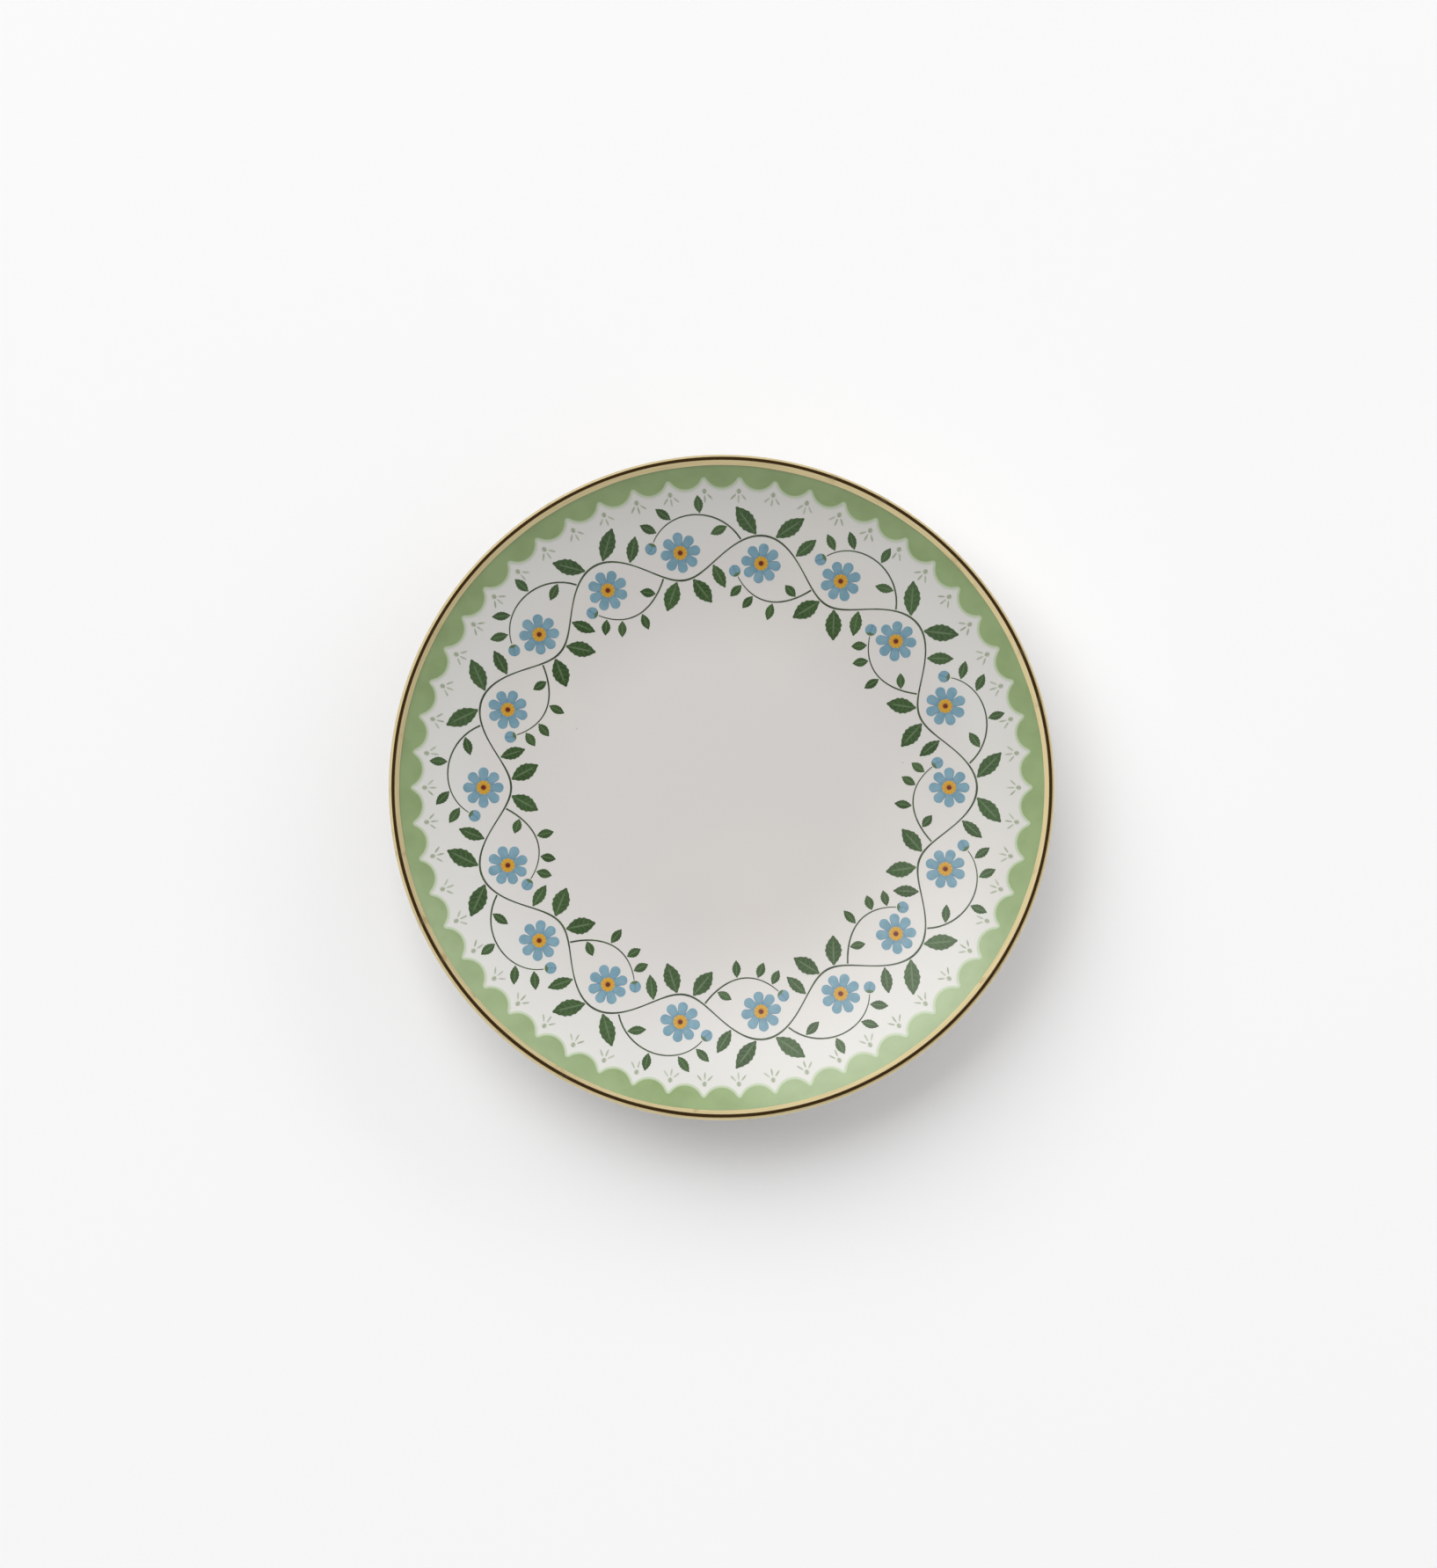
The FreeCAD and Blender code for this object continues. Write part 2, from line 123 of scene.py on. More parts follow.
def lip_points(coat):
    """Over the rounding of the lip, from the inside's last point to the outside."""
    centre = (lip_radius, lip_height)
    return arc_points(centre, lip_half + coat, math.pi + inside_lip_angle, outside_lip_angle, LIP_STEPS)[1:]


def outside_points(coat, start, end, count):
    """An arc of the outside on this coat, after its first point."""
    return arc_points(outside_centre, outside_radius + coat, start, end, count)[1:]


def fillet_points(centre, coat, start, end):
    """Along the fillet between the foot and the underside."""
    return arc_points(centre, FOOT_FILLET - coat, start, end, FILLET_STEPS)


def face_points(coat):
    """From the middle of the well up the inside, over the lip and down the outside to the top of the foot."""
    points = [(0, floor_height + coat), (WELL_FLAT_RADIUS / 2, floor_height + coat)]
    points += inside_points(coat, 0, inside_lip_angle, WALL_STEPS)
    points += lip_points(coat)
    points += outside_points(coat, outside_lip_angle, outer_fillet_angle, OUTSIDE_STEPS)
    return points + fillet_points(outer_fillet, coat, math.pi + outer_fillet_angle, 1.5 * math.pi)[1:]


def base_points(coat):
    """From the foot's inside over its fillet and across the underside to the axis."""
    points = fillet_points(inner_fillet, coat, 0.5 * math.pi, math.pi + inner_fillet_angle)
    points += outside_points(coat, inner_fillet_angle, 0, SHORT_ARC_STEPS)
    return points + [(WELL_FLAT_RADIUS / 2, under_height - coat), (0, under_height - coat)]


def standing_edge():
    """Round the bare foot, from its outside to its inside."""
    outer = (foot_outer - FOOT_EDGE_RADIUS, FOOT_EDGE_RADIUS)
    inner = (foot_inner + FOOT_EDGE_RADIUS, FOOT_EDGE_RADIUS)
    points = arc_points(outer, FOOT_EDGE_RADIUS, 0.5 * math.pi, 0, SHORT_ARC_STEPS)
    return points + arc_points(inner, FOOT_EDGE_RADIUS, 0, -0.5 * math.pi, SHORT_ARC_STEPS)


class Wire:
    """An output of a node; a sum on it adds Math nodes to its tree."""

    def __init__(self, tree, socket):
        self.tree = tree
        self.socket = socket

    def math(self, operation, *values):
        return self.tree.add("ShaderNodeMath", {"operation": operation}, dict(enumerate((self, *values))))

    def reflected(self, operation, value):
        return self.tree.add("ShaderNodeMath", {"operation": operation}, {0: value, 1: self})

    def __add__(self, value):
        return self.math("ADD", value)

    __radd__ = __add__

    def __sub__(self, value):
        return self.math("SUBTRACT", value)

    def __rsub__(self, value):
        return self.reflected("SUBTRACT", value)

    def __mul__(self, value):
        return self.math("MULTIPLY", value)

    __rmul__ = __mul__

    def __truediv__(self, value):
        return self.math("DIVIDE", value)

    def __rtruediv__(self, value):
        return self.reflected("DIVIDE", value)

    def rising(self, low, high):
        """0 up to low, 1 from high on, smooth between them."""
        sockets = {"Value": self, "From Min": low, "From Max": high}
        return self.tree.add("ShaderNodeMapRange", {"interpolation_type": "SMOOTHSTEP"}, sockets)

    def parts(self):
        """The X, Y and Z of a place."""
        return self.tree.add("ShaderNodeSeparateXYZ", {}, {0: self}, ["X", "Y", "Z"])


def paint(colour):
    """A colour from its sRGB bytes."""
    shares = [byte / 255 for byte in colour]
    return (*[s / 12.92 if s <= 0.04045 else ((s + 0.055) / 1.055) ** 2.4 for s in shares], 1.0)


class Tree:
    """A tree of nodes that is being wired up."""

    def __init__(self, nodes):
        self.nodes = nodes

    def add(self, kind, settings=None, sockets=None, outputs=None):
        """A node of this type: its settings first, then the values or links of its sockets."""
        node = self.nodes.nodes.new(kind)
        for name, value in (settings or {}).items():
            setattr(node, name, value)
        for key, value in (sockets or {}).items():
            usable = [socket for socket in node.inputs if socket.enabled]
            named = [socket for socket in usable if socket.name == key]
            target = named[0] if named else usable[key]
            if isinstance(value, Wire):
                self.nodes.links.new(value.socket, target)
            else:
                target.default_value = value
        if outputs:
            return [Wire(self, node.outputs[name]) for name in outputs]
        given = [socket for socket in node.outputs if socket.enabled]
        return Wire(self, given[0]) if given else None

    def mixed(self, share, start, end):
        """A colour between two others, each a wire or its sRGB bytes."""
        colours = [side if isinstance(side, Wire) else paint(side) for side in (start, end)]
        sockets = dict(zip(("Factor", "A", "B"), (share, *colours)))
        return self.add("ShaderNodeMix", {"data_type": "RGBA"}, sockets)

    def vector(self, x, y, z):
        """A place from its X, Y and Z."""
        return self.add("ShaderNodeCombineXYZ", {}, {"X": x, "Y": y, "Z": z})


class Finish(Tree):
    """A material whose nodes are being wired up; its place is the Object coordinates."""

    def __init__(self, name):
        self.material = bpy.data.materials.new(name)
        self.material.use_nodes = True
        self.material.node_tree.nodes.clear()
        super().__init__(self.material.node_tree)
        self.place = self.add("ShaderNodeTexCoord", {}, {}, ["Object"])[0]

    def noise(self, size, detail=2.0, place=None):
        """Noise about 0.5 whose blotches are about this size."""
        sockets = {"Vector": place or self.place, "Scale": 1 / size, "Detail": detail}
        return self.add("ShaderNodeTexNoise", {}, sockets)

    def named(self, attribute):
        """A number that the piece's mesh carries."""
        return self.add("ShaderNodeAttribute", {"attribute_name": attribute}, {}, ["Fac"])[0]

    def bumped(self, height, depth):
        """The normal of a surface with this relief, in metres from its lowest to its highest."""
        return self.add("ShaderNodeBump", {}, {"Height": height, "Strength": 1.0, "Distance": depth})

    def done(self, sockets):
        """Ends the tree in one shader with these sockets, and gives the material."""
        shader = self.add("ShaderNodeBsdfPrincipled", {}, sockets)
        self.add("ShaderNodeOutputMaterial", {}, {"Surface": shader})
        return self.material


class Growth(Tree):
    """A Geometry Nodes tree; given holds the wires of its geometry and of its named inputs."""

    def __init__(self, name, inputs):
        super().__init__(bpy.data.node_groups.new(name, "GeometryNodeTree"))
        kinds = {"Geometry": "Geometry", **inputs}
        for label, kind in kinds.items():
            self.nodes.interface.new_socket(label, in_out="INPUT", socket_type="NodeSocket" + kind)
        self.nodes.interface.new_socket("Geometry", in_out="OUTPUT", socket_type="NodeSocketGeometry")
        self.given = dict(zip(kinds, self.add("NodeGroupInput", {}, {}, list(kinds))))

    def position(self):
        """The place of each point."""
        return self.add("GeometryNodeInputPosition")

    def carried(self, label, kind="FLOAT"):
        """A value that each point carries."""
        return self.add("GeometryNodeInputNamedAttribute", {"data_type": kind}, {"Name": label})

    def moved(self, shape, place):
        """The shape with its points put in these places."""
        return self.add("GeometryNodeSetPosition", {}, {"Geometry": shape, "Position": place})

    def welded(self, shape):
        """The shape with points that coincide made one."""
        return self.add("GeometryNodeMergeByDistance", {}, {"Geometry": shape, "Distance": WELD_DISTANCE})

    def done(self, shape):
        """Ends the tree in this shape as plain geometry, in the finish that it is given."""
        whole = self.add("GeometryNodeRealizeInstances", {}, {"Geometry": shape})
        sockets = {"Geometry": whole, "Material": self.given["Finish"]}
        self.add("NodeGroupOutput", {}, {"Geometry": self.add("GeometryNodeSetMaterial", {}, sockets)})


def grown(piece, tree, values):
    """Runs a Geometry Nodes tree on a piece with these inputs and keeps the result as its plain mesh."""
    modifier = piece.modifiers.new("grown", "NODES")
    modifier.node_group = tree.nodes
    for item in tree.nodes.interface.items_tree:
        if item.name in values:
            modifier[item.identifier] = values[item.name]
    depsgraph = bpy.context.evaluated_depsgraph_get()
    shown = piece.evaluated_get(depsgraph)
    mesh = bpy.data.meshes.new_from_object(shown, preserve_all_data_layers=True, depsgraph=depsgraph)
    piece.modifiers.clear()
    piece.data = mesh
    solid = bmesh.new()
    solid.from_mesh(mesh)
    bmesh.ops.recalc_face_normals(solid, faces=solid.faces)
    solid.to_mesh(mesh)
    solid.free()
    mesh.shade_smooth()
    mesh.set_sharp_from_angle(angle=CREASE_ANGLE)


def new_piece(name, mesh):
    piece = bpy.data.objects.new(name, mesh)
    bpy.context.scene.collection.objects.link(piece)
    return piece


def fixed(piece, node):
    """The piece stands for its CAD node, which is hidden, and moves with the dish."""
    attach(piece, "root")
    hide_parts(node)


# A profile's points are turned into rings: point number by ring, then the seam and the poles are welded.
turning = Growth("turned_ware", {"Profile points": "Int", "Segments": "Int", "Finish": "Material"})
ring_size = turning.given["Segments"] + 1
sheet_sockets = {"Size X": 1.0, "Size Y": 1.0}
sheet_sockets.update({"Vertices X": turning.given["Profile points"], "Vertices Y": ring_size})
ware_sheet = turning.add("GeometryNodeMeshGrid", {}, sheet_sockets)
sheet_index = turning.add("GeometryNodeInputIndex")
ring_number = (sheet_index / ring_size + INDEX_NUDGE).math("FLOOR")
step_number = sheet_index - ring_number * ring_size
sampling = {"Geometry": turning.given["Geometry"], "Value": turning.position(), "Index": ring_number}
ring_point = turning.add("GeometryNodeSampleIndex", {"data_type": "FLOAT_VECTOR"}, sampling)
ring_radius, _, ring_height = ring_point.parts()
turn_angle = step_number * (2 * math.pi) / turning.given["Segments"]
ring_x = ring_radius * turn_angle.math("COSINE")
ring_y = ring_radius * turn_angle.math("SINE")
turned_sheet = turning.moved(ware_sheet, turning.vector(ring_x, ring_y, ring_height))
turning.done(turning.welded(turned_sheet))


def turned_piece(name, profile, finish):
    """A piece that its profile sweeps about the dish's axis."""
    mesh = bpy.data.meshes.new(name)
    mesh.from_pydata([(radius, 0, height) for radius, height in profile], [], [])
    piece = new_piece(name, mesh)
    grown(piece, turning, {"Profile points": len(profile), "Segments": TURNED_SEGMENTS, "Finish": finish})
    return piece


def biscuit_porcelain():
    """Bare fired clay: sugary grain, faint clouds, and a little grime where it stands and is scuffed."""
    finish = Finish("biscuit_porcelain")
    grain = finish.noise(BISCUIT_GRAIN_SIZE, 4.0)
    cloud = finish.noise(BISCUIT_CLOUD_SIZE)
    height = finish.place.parts()[2]
    scuffs = finish.noise(SCUFF_SIZE, 5.0).rising(0.42, 0.62)
    wear = (1 - height.rising(0, SCUFF_HEIGHT)) * scuffs
    colour = finish.mixed(grain.rising(0.35, 0.7), BISCUIT_WHITE, BISCUIT_GREY)
    colour = finish.mixed(cloud * 0.3, colour, BISCUIT_GREY)
    colour = finish.mixed(wear * 0.3, colour, FOOT_GRIME)
    sockets = {"Base Color": colour, "Roughness": 0.7 + grain * 0.25}
    sockets["Normal"] = finish.bumped(grain, BISCUIT_GRAIN_DEPTH)
    return finish.done(sockets)


body_profile = face_points(0) + standing_edge() + base_points(0)
porcelain_body = turned_piece("porcelain_body_ware", body_profile, biscuit_porcelain())
fixed(porcelain_body, "porcelain_body")

# Face glaze
# Clear feldspar glaze that the fired body is dipped in; it covers the inside, the lip and the outside, and is
# wiped back to a rounded edge just above the standing line of the foot. The white body shows through it.
GLAZE_WHITE = (217, 216, 212)
GLAZE_POOLED = (212, 208, 205)
GLAZE_WARM = (217, 212, 206)
POOL_HEIGHTS = (glazed_floor + 1.0 * MM, glazed_floor + 5.5 * MM)
GLAZE_INDEX = 1.45
PINHOLE_GREY = (150, 146, 140)
GLAZE_CLOUD_SIZE = 18 * MM
GLAZE_WARMTH_SIZE = 34 * MM
PEEL_SIZE = 1.6 * MM
PEEL_DEPTH = 0.006 * MM
PINHOLE_SPACING = 7 * MM
PINHOLE_PATCH_SIZE = 15 * MM
PINHOLE_RADIUS_SHARES = (0.012, 0.022)


def glaze_shell(outer_run, inner_run):
    """The closed skin between the glazed surface and the bare one, the two runs joined at their far ends."""
    return outer_run + inner_run[::-1]


def wiped_edge(radius, start, end):
    """The rounding that the glaze is wiped back to just above the standing line."""
    centre = (radius, glaze_line + GLAZE_THICKNESS)
    return arc_points(centre, GLAZE_THICKNESS, start, end, SHORT_ARC_STEPS)


def clear_glaze(name):
    """White body under clear glaze: greyer where it pooled, faint clouds, pinholes, a soft orange peel."""
    finish = Finish(name)
    cloud = finish.noise(GLAZE_CLOUD_SIZE, 3.0)
    warmth = finish.noise(GLAZE_WARMTH_SIZE)
    peel = finish.noise(PEEL_SIZE)
    cell_sockets = {"Vector": finish.place, "Scale": 1 / PINHOLE_SPACING}
    cells = finish.add("ShaderNodeTexVoronoi", {"feature": "F1"}, cell_sockets, ["Distance"])[0]
    patches = finish.noise(PINHOLE_PATCH_SIZE).rising(0.5, 0.56)
    pinhole = (1 - cells.rising(*PINHOLE_RADIUS_SHARES)) * patches
    height = finish.place.parts()[2]
    pooling = 1 - height.rising(*POOL_HEIGHTS) * (0.7 + cloud * 0.4)
    colour = finish.mixed(pooling, GLAZE_WHITE, GLAZE_POOLED)
    colour = finish.mixed(warmth.rising(0.45, 0.75) * 0.6, colour, GLAZE_WARM)
    colour = finish.mixed(pinhole * 0.5, colour, PINHOLE_GREY)
    sockets = {"Base Color": colour, "Roughness": 0.26 + cloud * 0.08, "IOR": GLAZE_INDEX}
    sockets["Normal"] = finish.bumped(peel * 0.8 - pinhole, PEEL_DEPTH)
    return finish.done(sockets)


face_outer = face_points(GLAZE_THICKNESS) + wiped_edge(foot_outer, 0.5 * math.pi, 0)
face_profile = glaze_shell(face_outer, face_points(0))
face_glaze = turned_piece("face_glaze_coat", face_profile, clear_glaze("face_clear_glaze"))
fixed(face_glaze, "face_glaze")

# Base glaze
# The same glaze on the underside within the foot ring, cut off from the rest by the bare standing edge and
# wiped back there in the same way.
base_outer = wiped_edge(foot_inner, 0, -0.5 * math.pi) + base_points(GLAZE_THICKNESS)
base_profile = glaze_shell(base_outer, base_points(0))
# These runs meet on the axis, so the skin is closed along the foot by going back to its first point
base_profile.append(base_profile[0])
base_glaze = turned_piece("base_glaze_coat", base_profile, clear_glaze("base_clear_glaze"))
fixed(base_glaze, "base_glaze")

# Gilt rim line
# Bright gold brushed over the lip with the dish turning on a wheel, then fired and burnished. It is a film
# with fine turning marks, a slightly uneven edge inside, and thin places where it has been handled.
GILT_INSIDE_WIDTH = 0.75 * MM
GILT_OUTSIDE_WIDTH = 0.8 * MM
# Waves round the rim, height and phase of each sway of the edge inside, which dies out across the line
GILT_EDGE_SWAYS = ((3, 0.045 * MM, 0.4), (7, 0.03 * MM, 2.1), (19, 0.02 * MM, 4.4), (43, 0.015 * MM, 1.3))
GILT_SWAY_REACH = 0.5 * MM
GOLD = (220, 203, 158)
GOLD_DEEP = (203, 184, 138)
GOLD_WORN = (188, 164, 116)
MARK_WIDTH = 0.07 * MM
MARK_DEPTH = 0.004 * MM
MARK_TURN_SCALE = 6.0
HANDLING_SIZE = 3.2 * MM

film_bed = GLAZE_THICKNESS + FLUX_FILM
glazed_inside_radius = inside_radius - GLAZE_THICKNESS
gilt_inside_angle = inside_lip_angle - GILT_INSIDE_WIDTH / glazed_inside_radius
gilt_outside_angle = outside_lip_angle - GILT_OUTSIDE_WIDTH / (outside_radius + GLAZE_THICKNESS)


def gilt_points(coat, shy):
    """Over the lip on this coat, stopping short of the line's edges by a small angle."""
    inner = gilt_inside_angle + shy
    outer = gilt_outside_angle + shy
    points = inside_points(coat, inner, inside_lip_angle, SHORT_ARC_STEPS) + lip_points(coat)
    return points + outside_points(coat, outside_lip_angle, outer, SHORT_ARC_STEPS)


def brush_sway(piece):
    """Lets the line's edge inside the dish stray along the wall, as a brush does that is held by hand."""
    for vert in piece.data.vertices:
        x, y, z = vert.co
        radius = math.hypot(x, y)
        reach = math.hypot(radius - inside_centre[0], inside_centre[1] - z)
        angle = math.atan2(radius - inside_centre[0], inside_centre[1] - z)
        inset = max((angle - gilt_inside_angle) * reach / GILT_SWAY_REACH, 0)
        if reach > inside_radius or inset > 1:
            continue
        turn = math.atan2(y, x)
        sway = sum(height * math.sin(count * turn + phase) for count, height, phase in GILT_EDGE_SWAYS)
        angle += sway * (1 - inset) / reach
        stretch = (inside_centre[0] + reach * math.sin(angle)) / radius
        vert.co = (x * stretch, y * stretch, inside_centre[1] - reach * math.cos(angle))


def burnished_gold():
    """Gold with fine turning marks, duller and deeper where it has been handled."""
    finish = Finish("burnished_gold")
    x, y, z = finish.place.parts()
    radius = (x * x + y * y).math("SQRT")
    # Across the line the marks are fine; along it each runs on for about ten degrees
    turn = y.math("ARCTAN2", x) * MARK_TURN_SCALE
    mark_place = finish.vector(radius * (1 / MARK_WIDTH), z * (1 / MARK_WIDTH), turn)
    marks = finish.noise(1.0, 3.0, mark_place)
    handling = finish.noise(HANDLING_SIZE, 5.0).rising(0.56, 0.74)
    colour = finish.mixed(marks.rising(0.4, 0.75), GOLD, GOLD_DEEP)
    colour = finish.mixed(handling * 0.5, colour, GOLD_WORN)
    sockets = {"Base Color": colour, "Metallic": 1.0 - handling * 0.12}
    sockets["Roughness"] = 0.1 + marks * 0.12 + handling * 0.12
    sockets["Normal"] = finish.bumped(marks, MARK_DEPTH)
    return finish.done(sockets)


gold_edge_shy = 0.5 * GILT_FILM / glazed_inside_radius
gilt_profile = gilt_points(film_bed + GILT_FILM, gold_edge_shy)
gilt_profile += gilt_points(GLAZE_THICKNESS, 0)[::-1]
gilt_profile.append(gilt_profile[0])
gilt_rim = turned_piece("gilt_rim_band", gilt_profile, burnished_gold())
brush_sway(gilt_rim)
fixed(gilt_rim, "gilt_rim_line")

# Scallop border
# A sage-green enamel band printed under the gold: fifty-four rounded scallops that meet in sharp notches. The
# print fades through a pale mint edging, and lies on the glazed wall as a film that is thinner than paper.
PRINT_FILM = 0.03 * MM
PRINT_BED = 0.012 * MM
VINE_WAVES = 9
BORDER_WIDTH = 3.8 * MM
BORDER_TUCK = 0.15 * MM
SCALLOPS_PER_WAVE = 6
SCALLOP_DEPTH = 1.6 * MM
SCALLOP_COLUMNS = 14
SCALLOP_ROW_SHARES = (0.0, 0.04, 0.1, 0.2, 0.35, 0.65, 1.0)
EDGE_THINNING = 0.5
FLUX_INDEX = 1.55
SAGE = (137, 160, 104)
SAGE_DEEP = (128, 151, 94)
MINT_EDGING = (188, 200, 172)
SAGE_CLOUD_SIZE = 4.5 * MM
SAGE_GRAIN_SIZE = 0.22 * MM
SCREEN_GRAIN_SIZE = 0.16 * MM
SCREEN_GRAIN_DEPTH = 0.004 * MM
FLUX_ROUGHNESS = 0.28
# Where each fade of the border begins and ends, in millimetres from its outline
GLAZE_FADE = (0.0, 0.22)
MINT_FADE = (0.3, 0.6)
FLUX_FADE = (0.1, 0.7)
# The tone of a motif that is the same everywhere
EVEN_TONE = 0.5

border_outer = WELL_FLAT_RADIUS + glazed_inside_radius * math.sin(gilt_inside_angle)
scallop_tip = border_outer - BORDER_WIDTH
scallop_notch = scallop_tip + SCALLOP_DEPTH
scallop_count = VINE_WAVES * SCALLOPS_PER_WAVE
scallop_angle = 2 * math.pi / scallop_count


def polar(radius, angle):
    return radius * math.cos(angle), radius * math.sin(angle)


def laid_on_wall(tree, flat):
    """Bends flat film, drawn from above with its thickness in Z, down onto the curved wall."""
    reach = tree.given["Reach"]
    x, y, thickness = tree.position().parts()
    radius = (x * x + y * y).math("SQRT").math("MAXIMUM", MM)
    run = (radius - tree.given["Flat radius"]).math("MAXIMUM", 0.0)
    drop = (reach * reach - run * run).math("SQRT")
    inward = (radius - thickness * run / reach) / radius
    height = tree.given["Centre height"] - drop + thickness * drop / reach
    return tree.moved(flat, tree.vector(x * inward, y * inward, height))


WALL_INPUTS = {"Flat radius": "Float", "Reach": "Float", "Centre height": "Float", "Finish": "Material"}
print_reach = glazed_inside_radius - PRINT_BED
wall_values = {"Flat radius": WELL_FLAT_RADIUS, "Reach": print_reach, "Centre height": inside_centre[1]}

# A motif is set at each place, turned and spread as that place says, and the whole print is laid on the wall.
printing = Growth("enamel_print", {"Motif": "Object", **WALL_INPUTS})
motif_info = {"Object": printing.given["Motif"]}
motif_shape = printing.add("GeometryNodeObjectInfo", {}, motif_info, ["Geometry"])[0]
turn_vector = printing.vector(0.0, 0.0, printing.carried("turn"))
motif_sockets = {"Points": printing.given["Geometry"], "Instance": motif_shape}
motif_sockets["Rotation"] = printing.add("FunctionNodeEulerToRotation", {}, {0: turn_vector})
motif_sockets["Scale"] = printing.carried("spread", "FLOAT_VECTOR")
set_motifs = printing.add("GeometryNodeInstanceOnPoints", {}, motif_sockets)
flat_print = printing.add("GeometryNodeRealizeInstances", {}, {"Geometry": set_motifs})
printing.done(printing.welded(laid_on_wall(printing, flat_print)))


def film_motif(name, rows, ends="capped"):
    """A bit of film, still flat: rows of (x, y, along, across) over its top, thinner at its outline.

    Its ends are capped, or looped into a ring, or left open for a neighbour. Its points carry along, across
    and inset, which is 0 on the outline and 1 in the middle.
    """
    film = bmesh.new()
    layers = [film.verts.layers.float.new(label) for label in ("along", "across", "inset")]

    def corner(point, inset, height):
        vert = film.verts.new((point[0], point[1], height))
        for layer, value in zip(layers, (point[2], point[3], inset)):
            vert[layer] = value
        return vert

    top, bottom = [], []
    for number, row in enumerate(rows):
        insets = [1 - abs(2 * index / (len(row) - 1) - 1) for index in range(len(row))]
        if ends == "capped" and number in (0, len(rows) - 1):
            insets = [0] * len(row)
        lifts = [PRINT_FILM * (1 - EDGE_THINNING * (1 - inset) ** 3) for inset in insets]
        top.append([corner(*parts) for parts in zip(row, insets, lifts)])
        bottom.append([corner(point, inset, 0) for point, inset in zip(row, insets)])
    strips = []
    pairs = list(zip(range(len(rows)), range(1, len(rows))))
    if ends == "looped":
        pairs.append((len(rows) - 1, 0))
    for near, far in pairs:
        strips += [(top[near], top[far]), (bottom[near], bottom[far])]
        for side in (0, -1):
            strips.append(((top[near][side], top[far][side]), (bottom[near][side], bottom[far][side])))
    if ends == "capped":
        strips += [(top[0], bottom[0]), (top[-1], bottom[-1])]
    for near_line, far_line in strips:
        for index in range(len(near_line) - 1):
            film.faces.new((near_line[index], near_line[index + 1], far_line[index + 1], far_line[index]))
    bmesh.ops.recalc_face_normals(film, faces=film.faces)
    mesh = bpy.data.meshes.new(name)
    film.to_mesh(mesh)
    film.free()
    return new_piece(name, mesh)


def printed_piece(name, motif, places, finish):
    """The motif at each place (x, y, turn, (length, width), tone), as one print on the wall."""
    mesh = bpy.data.meshes.new(name)
    mesh.from_pydata([(x, y, 0) for x, y, *_ in places], [], [])
    for label, kind in (("turn", "FLOAT"), ("spread", "FLOAT_VECTOR"), ("tone", "FLOAT")):
        mesh.attributes.new(label, kind, "POINT")
    for index, (_, _, angle, (length, width), shade) in enumerate(places):
        mesh.attributes["turn"].data[index].value = angle
        mesh.attributes["spread"].data[index].vector = (length, width, 1)
        mesh.attributes["tone"].data[index].value = shade
    piece = new_piece(name, mesh)
    grown(piece, printing, {"Motif": motif, "Finish": finish, **wall_values})
    bpy.data.objects.remove(motif)
    return piece


def scallop_rows():
    """One scallop from above, centred on +X: columns from its curved edge out to just under the gold line."""
    half_chord = scallop_notch * math.sin(scallop_angle / 2)
    sagitta = scallop_notch * math.cos(scallop_angle / 2) - scallop_tip
    round_radius = (half_chord**2 + sagitta**2) / (2 * sagitta)
    round_centre = scallop_tip + round_radius
    half_round = math.asin(half_chord / round_radius)
    notch = (scallop_notch * math.cos(scallop_angle / 2), half_chord)
    rows = []
    for column in range(SCALLOP_COLUMNS + 1):
        share = 2 * column / SCALLOP_COLUMNS - 1
        edge_x = round_centre - round_radius * math.cos(share * half_round)
        edge_y = round_radius * math.sin(share * half_round)
        outer_x, outer_y = polar(border_outer + BORDER_TUCK, share * scallop_angle / 2)
        row = []
        for part in SCALLOP_ROW_SHARES:
            x = edge_x + (outer_x - edge_x) * part
            y = edge_y + (outer_y - edge_y) * part
            from_edge = round_radius - math.hypot(x - round_centre, y)
            if abs(math.atan2(y, round_centre - x)) > half_round:
                from_edge = math.hypot(x - notch[0], abs(y) - notch[1])
            row.append((x, y, from_edge / MM, share))
        rows.append(row)
    return rows


def enamel_finish(finish, colour, flux=0.0):
    """Ends an enamel: fired colour with a trace of screen grain, under this weight of bright flux."""
    grain = finish.noise(SCREEN_GRAIN_SIZE)
    sockets = {"Base Color": colour, "Roughness": 0.3 + grain * 0.14, "IOR": GLAZE_INDEX}
    sockets.update({"Coat Weight": flux, "Coat Roughness": FLUX_ROUGHNESS, "Coat IOR": FLUX_INDEX})
    sockets["Normal"] = finish.bumped(grain, SCREEN_GRAIN_DEPTH)
    return finish.done(sockets)


def sage_enamel():
    """Cloudy sage green that fades through mint into the white glaze at its outline."""
    finish = Finish("sage_enamel")
    cloud = finish.noise(SAGE_CLOUD_SIZE, 3.0)
    grain = finish.noise(SAGE_GRAIN_SIZE)
    from_outline = finish.named("along") + (grain - 0.5) * 0.1
    colour = finish.mixed(cloud.rising(0.35, 0.68), SAGE, SAGE_DEEP)
    colour = finish.mixed(1 - from_outline.rising(*MINT_FADE), colour, MINT_EDGING)
    colour = finish.mixed(1 - from_outline.rising(*GLAZE_FADE), colour, GLAZE_WHITE)
    return enamel_finish(finish, colour, flux=from_outline.rising(*FLUX_FADE))


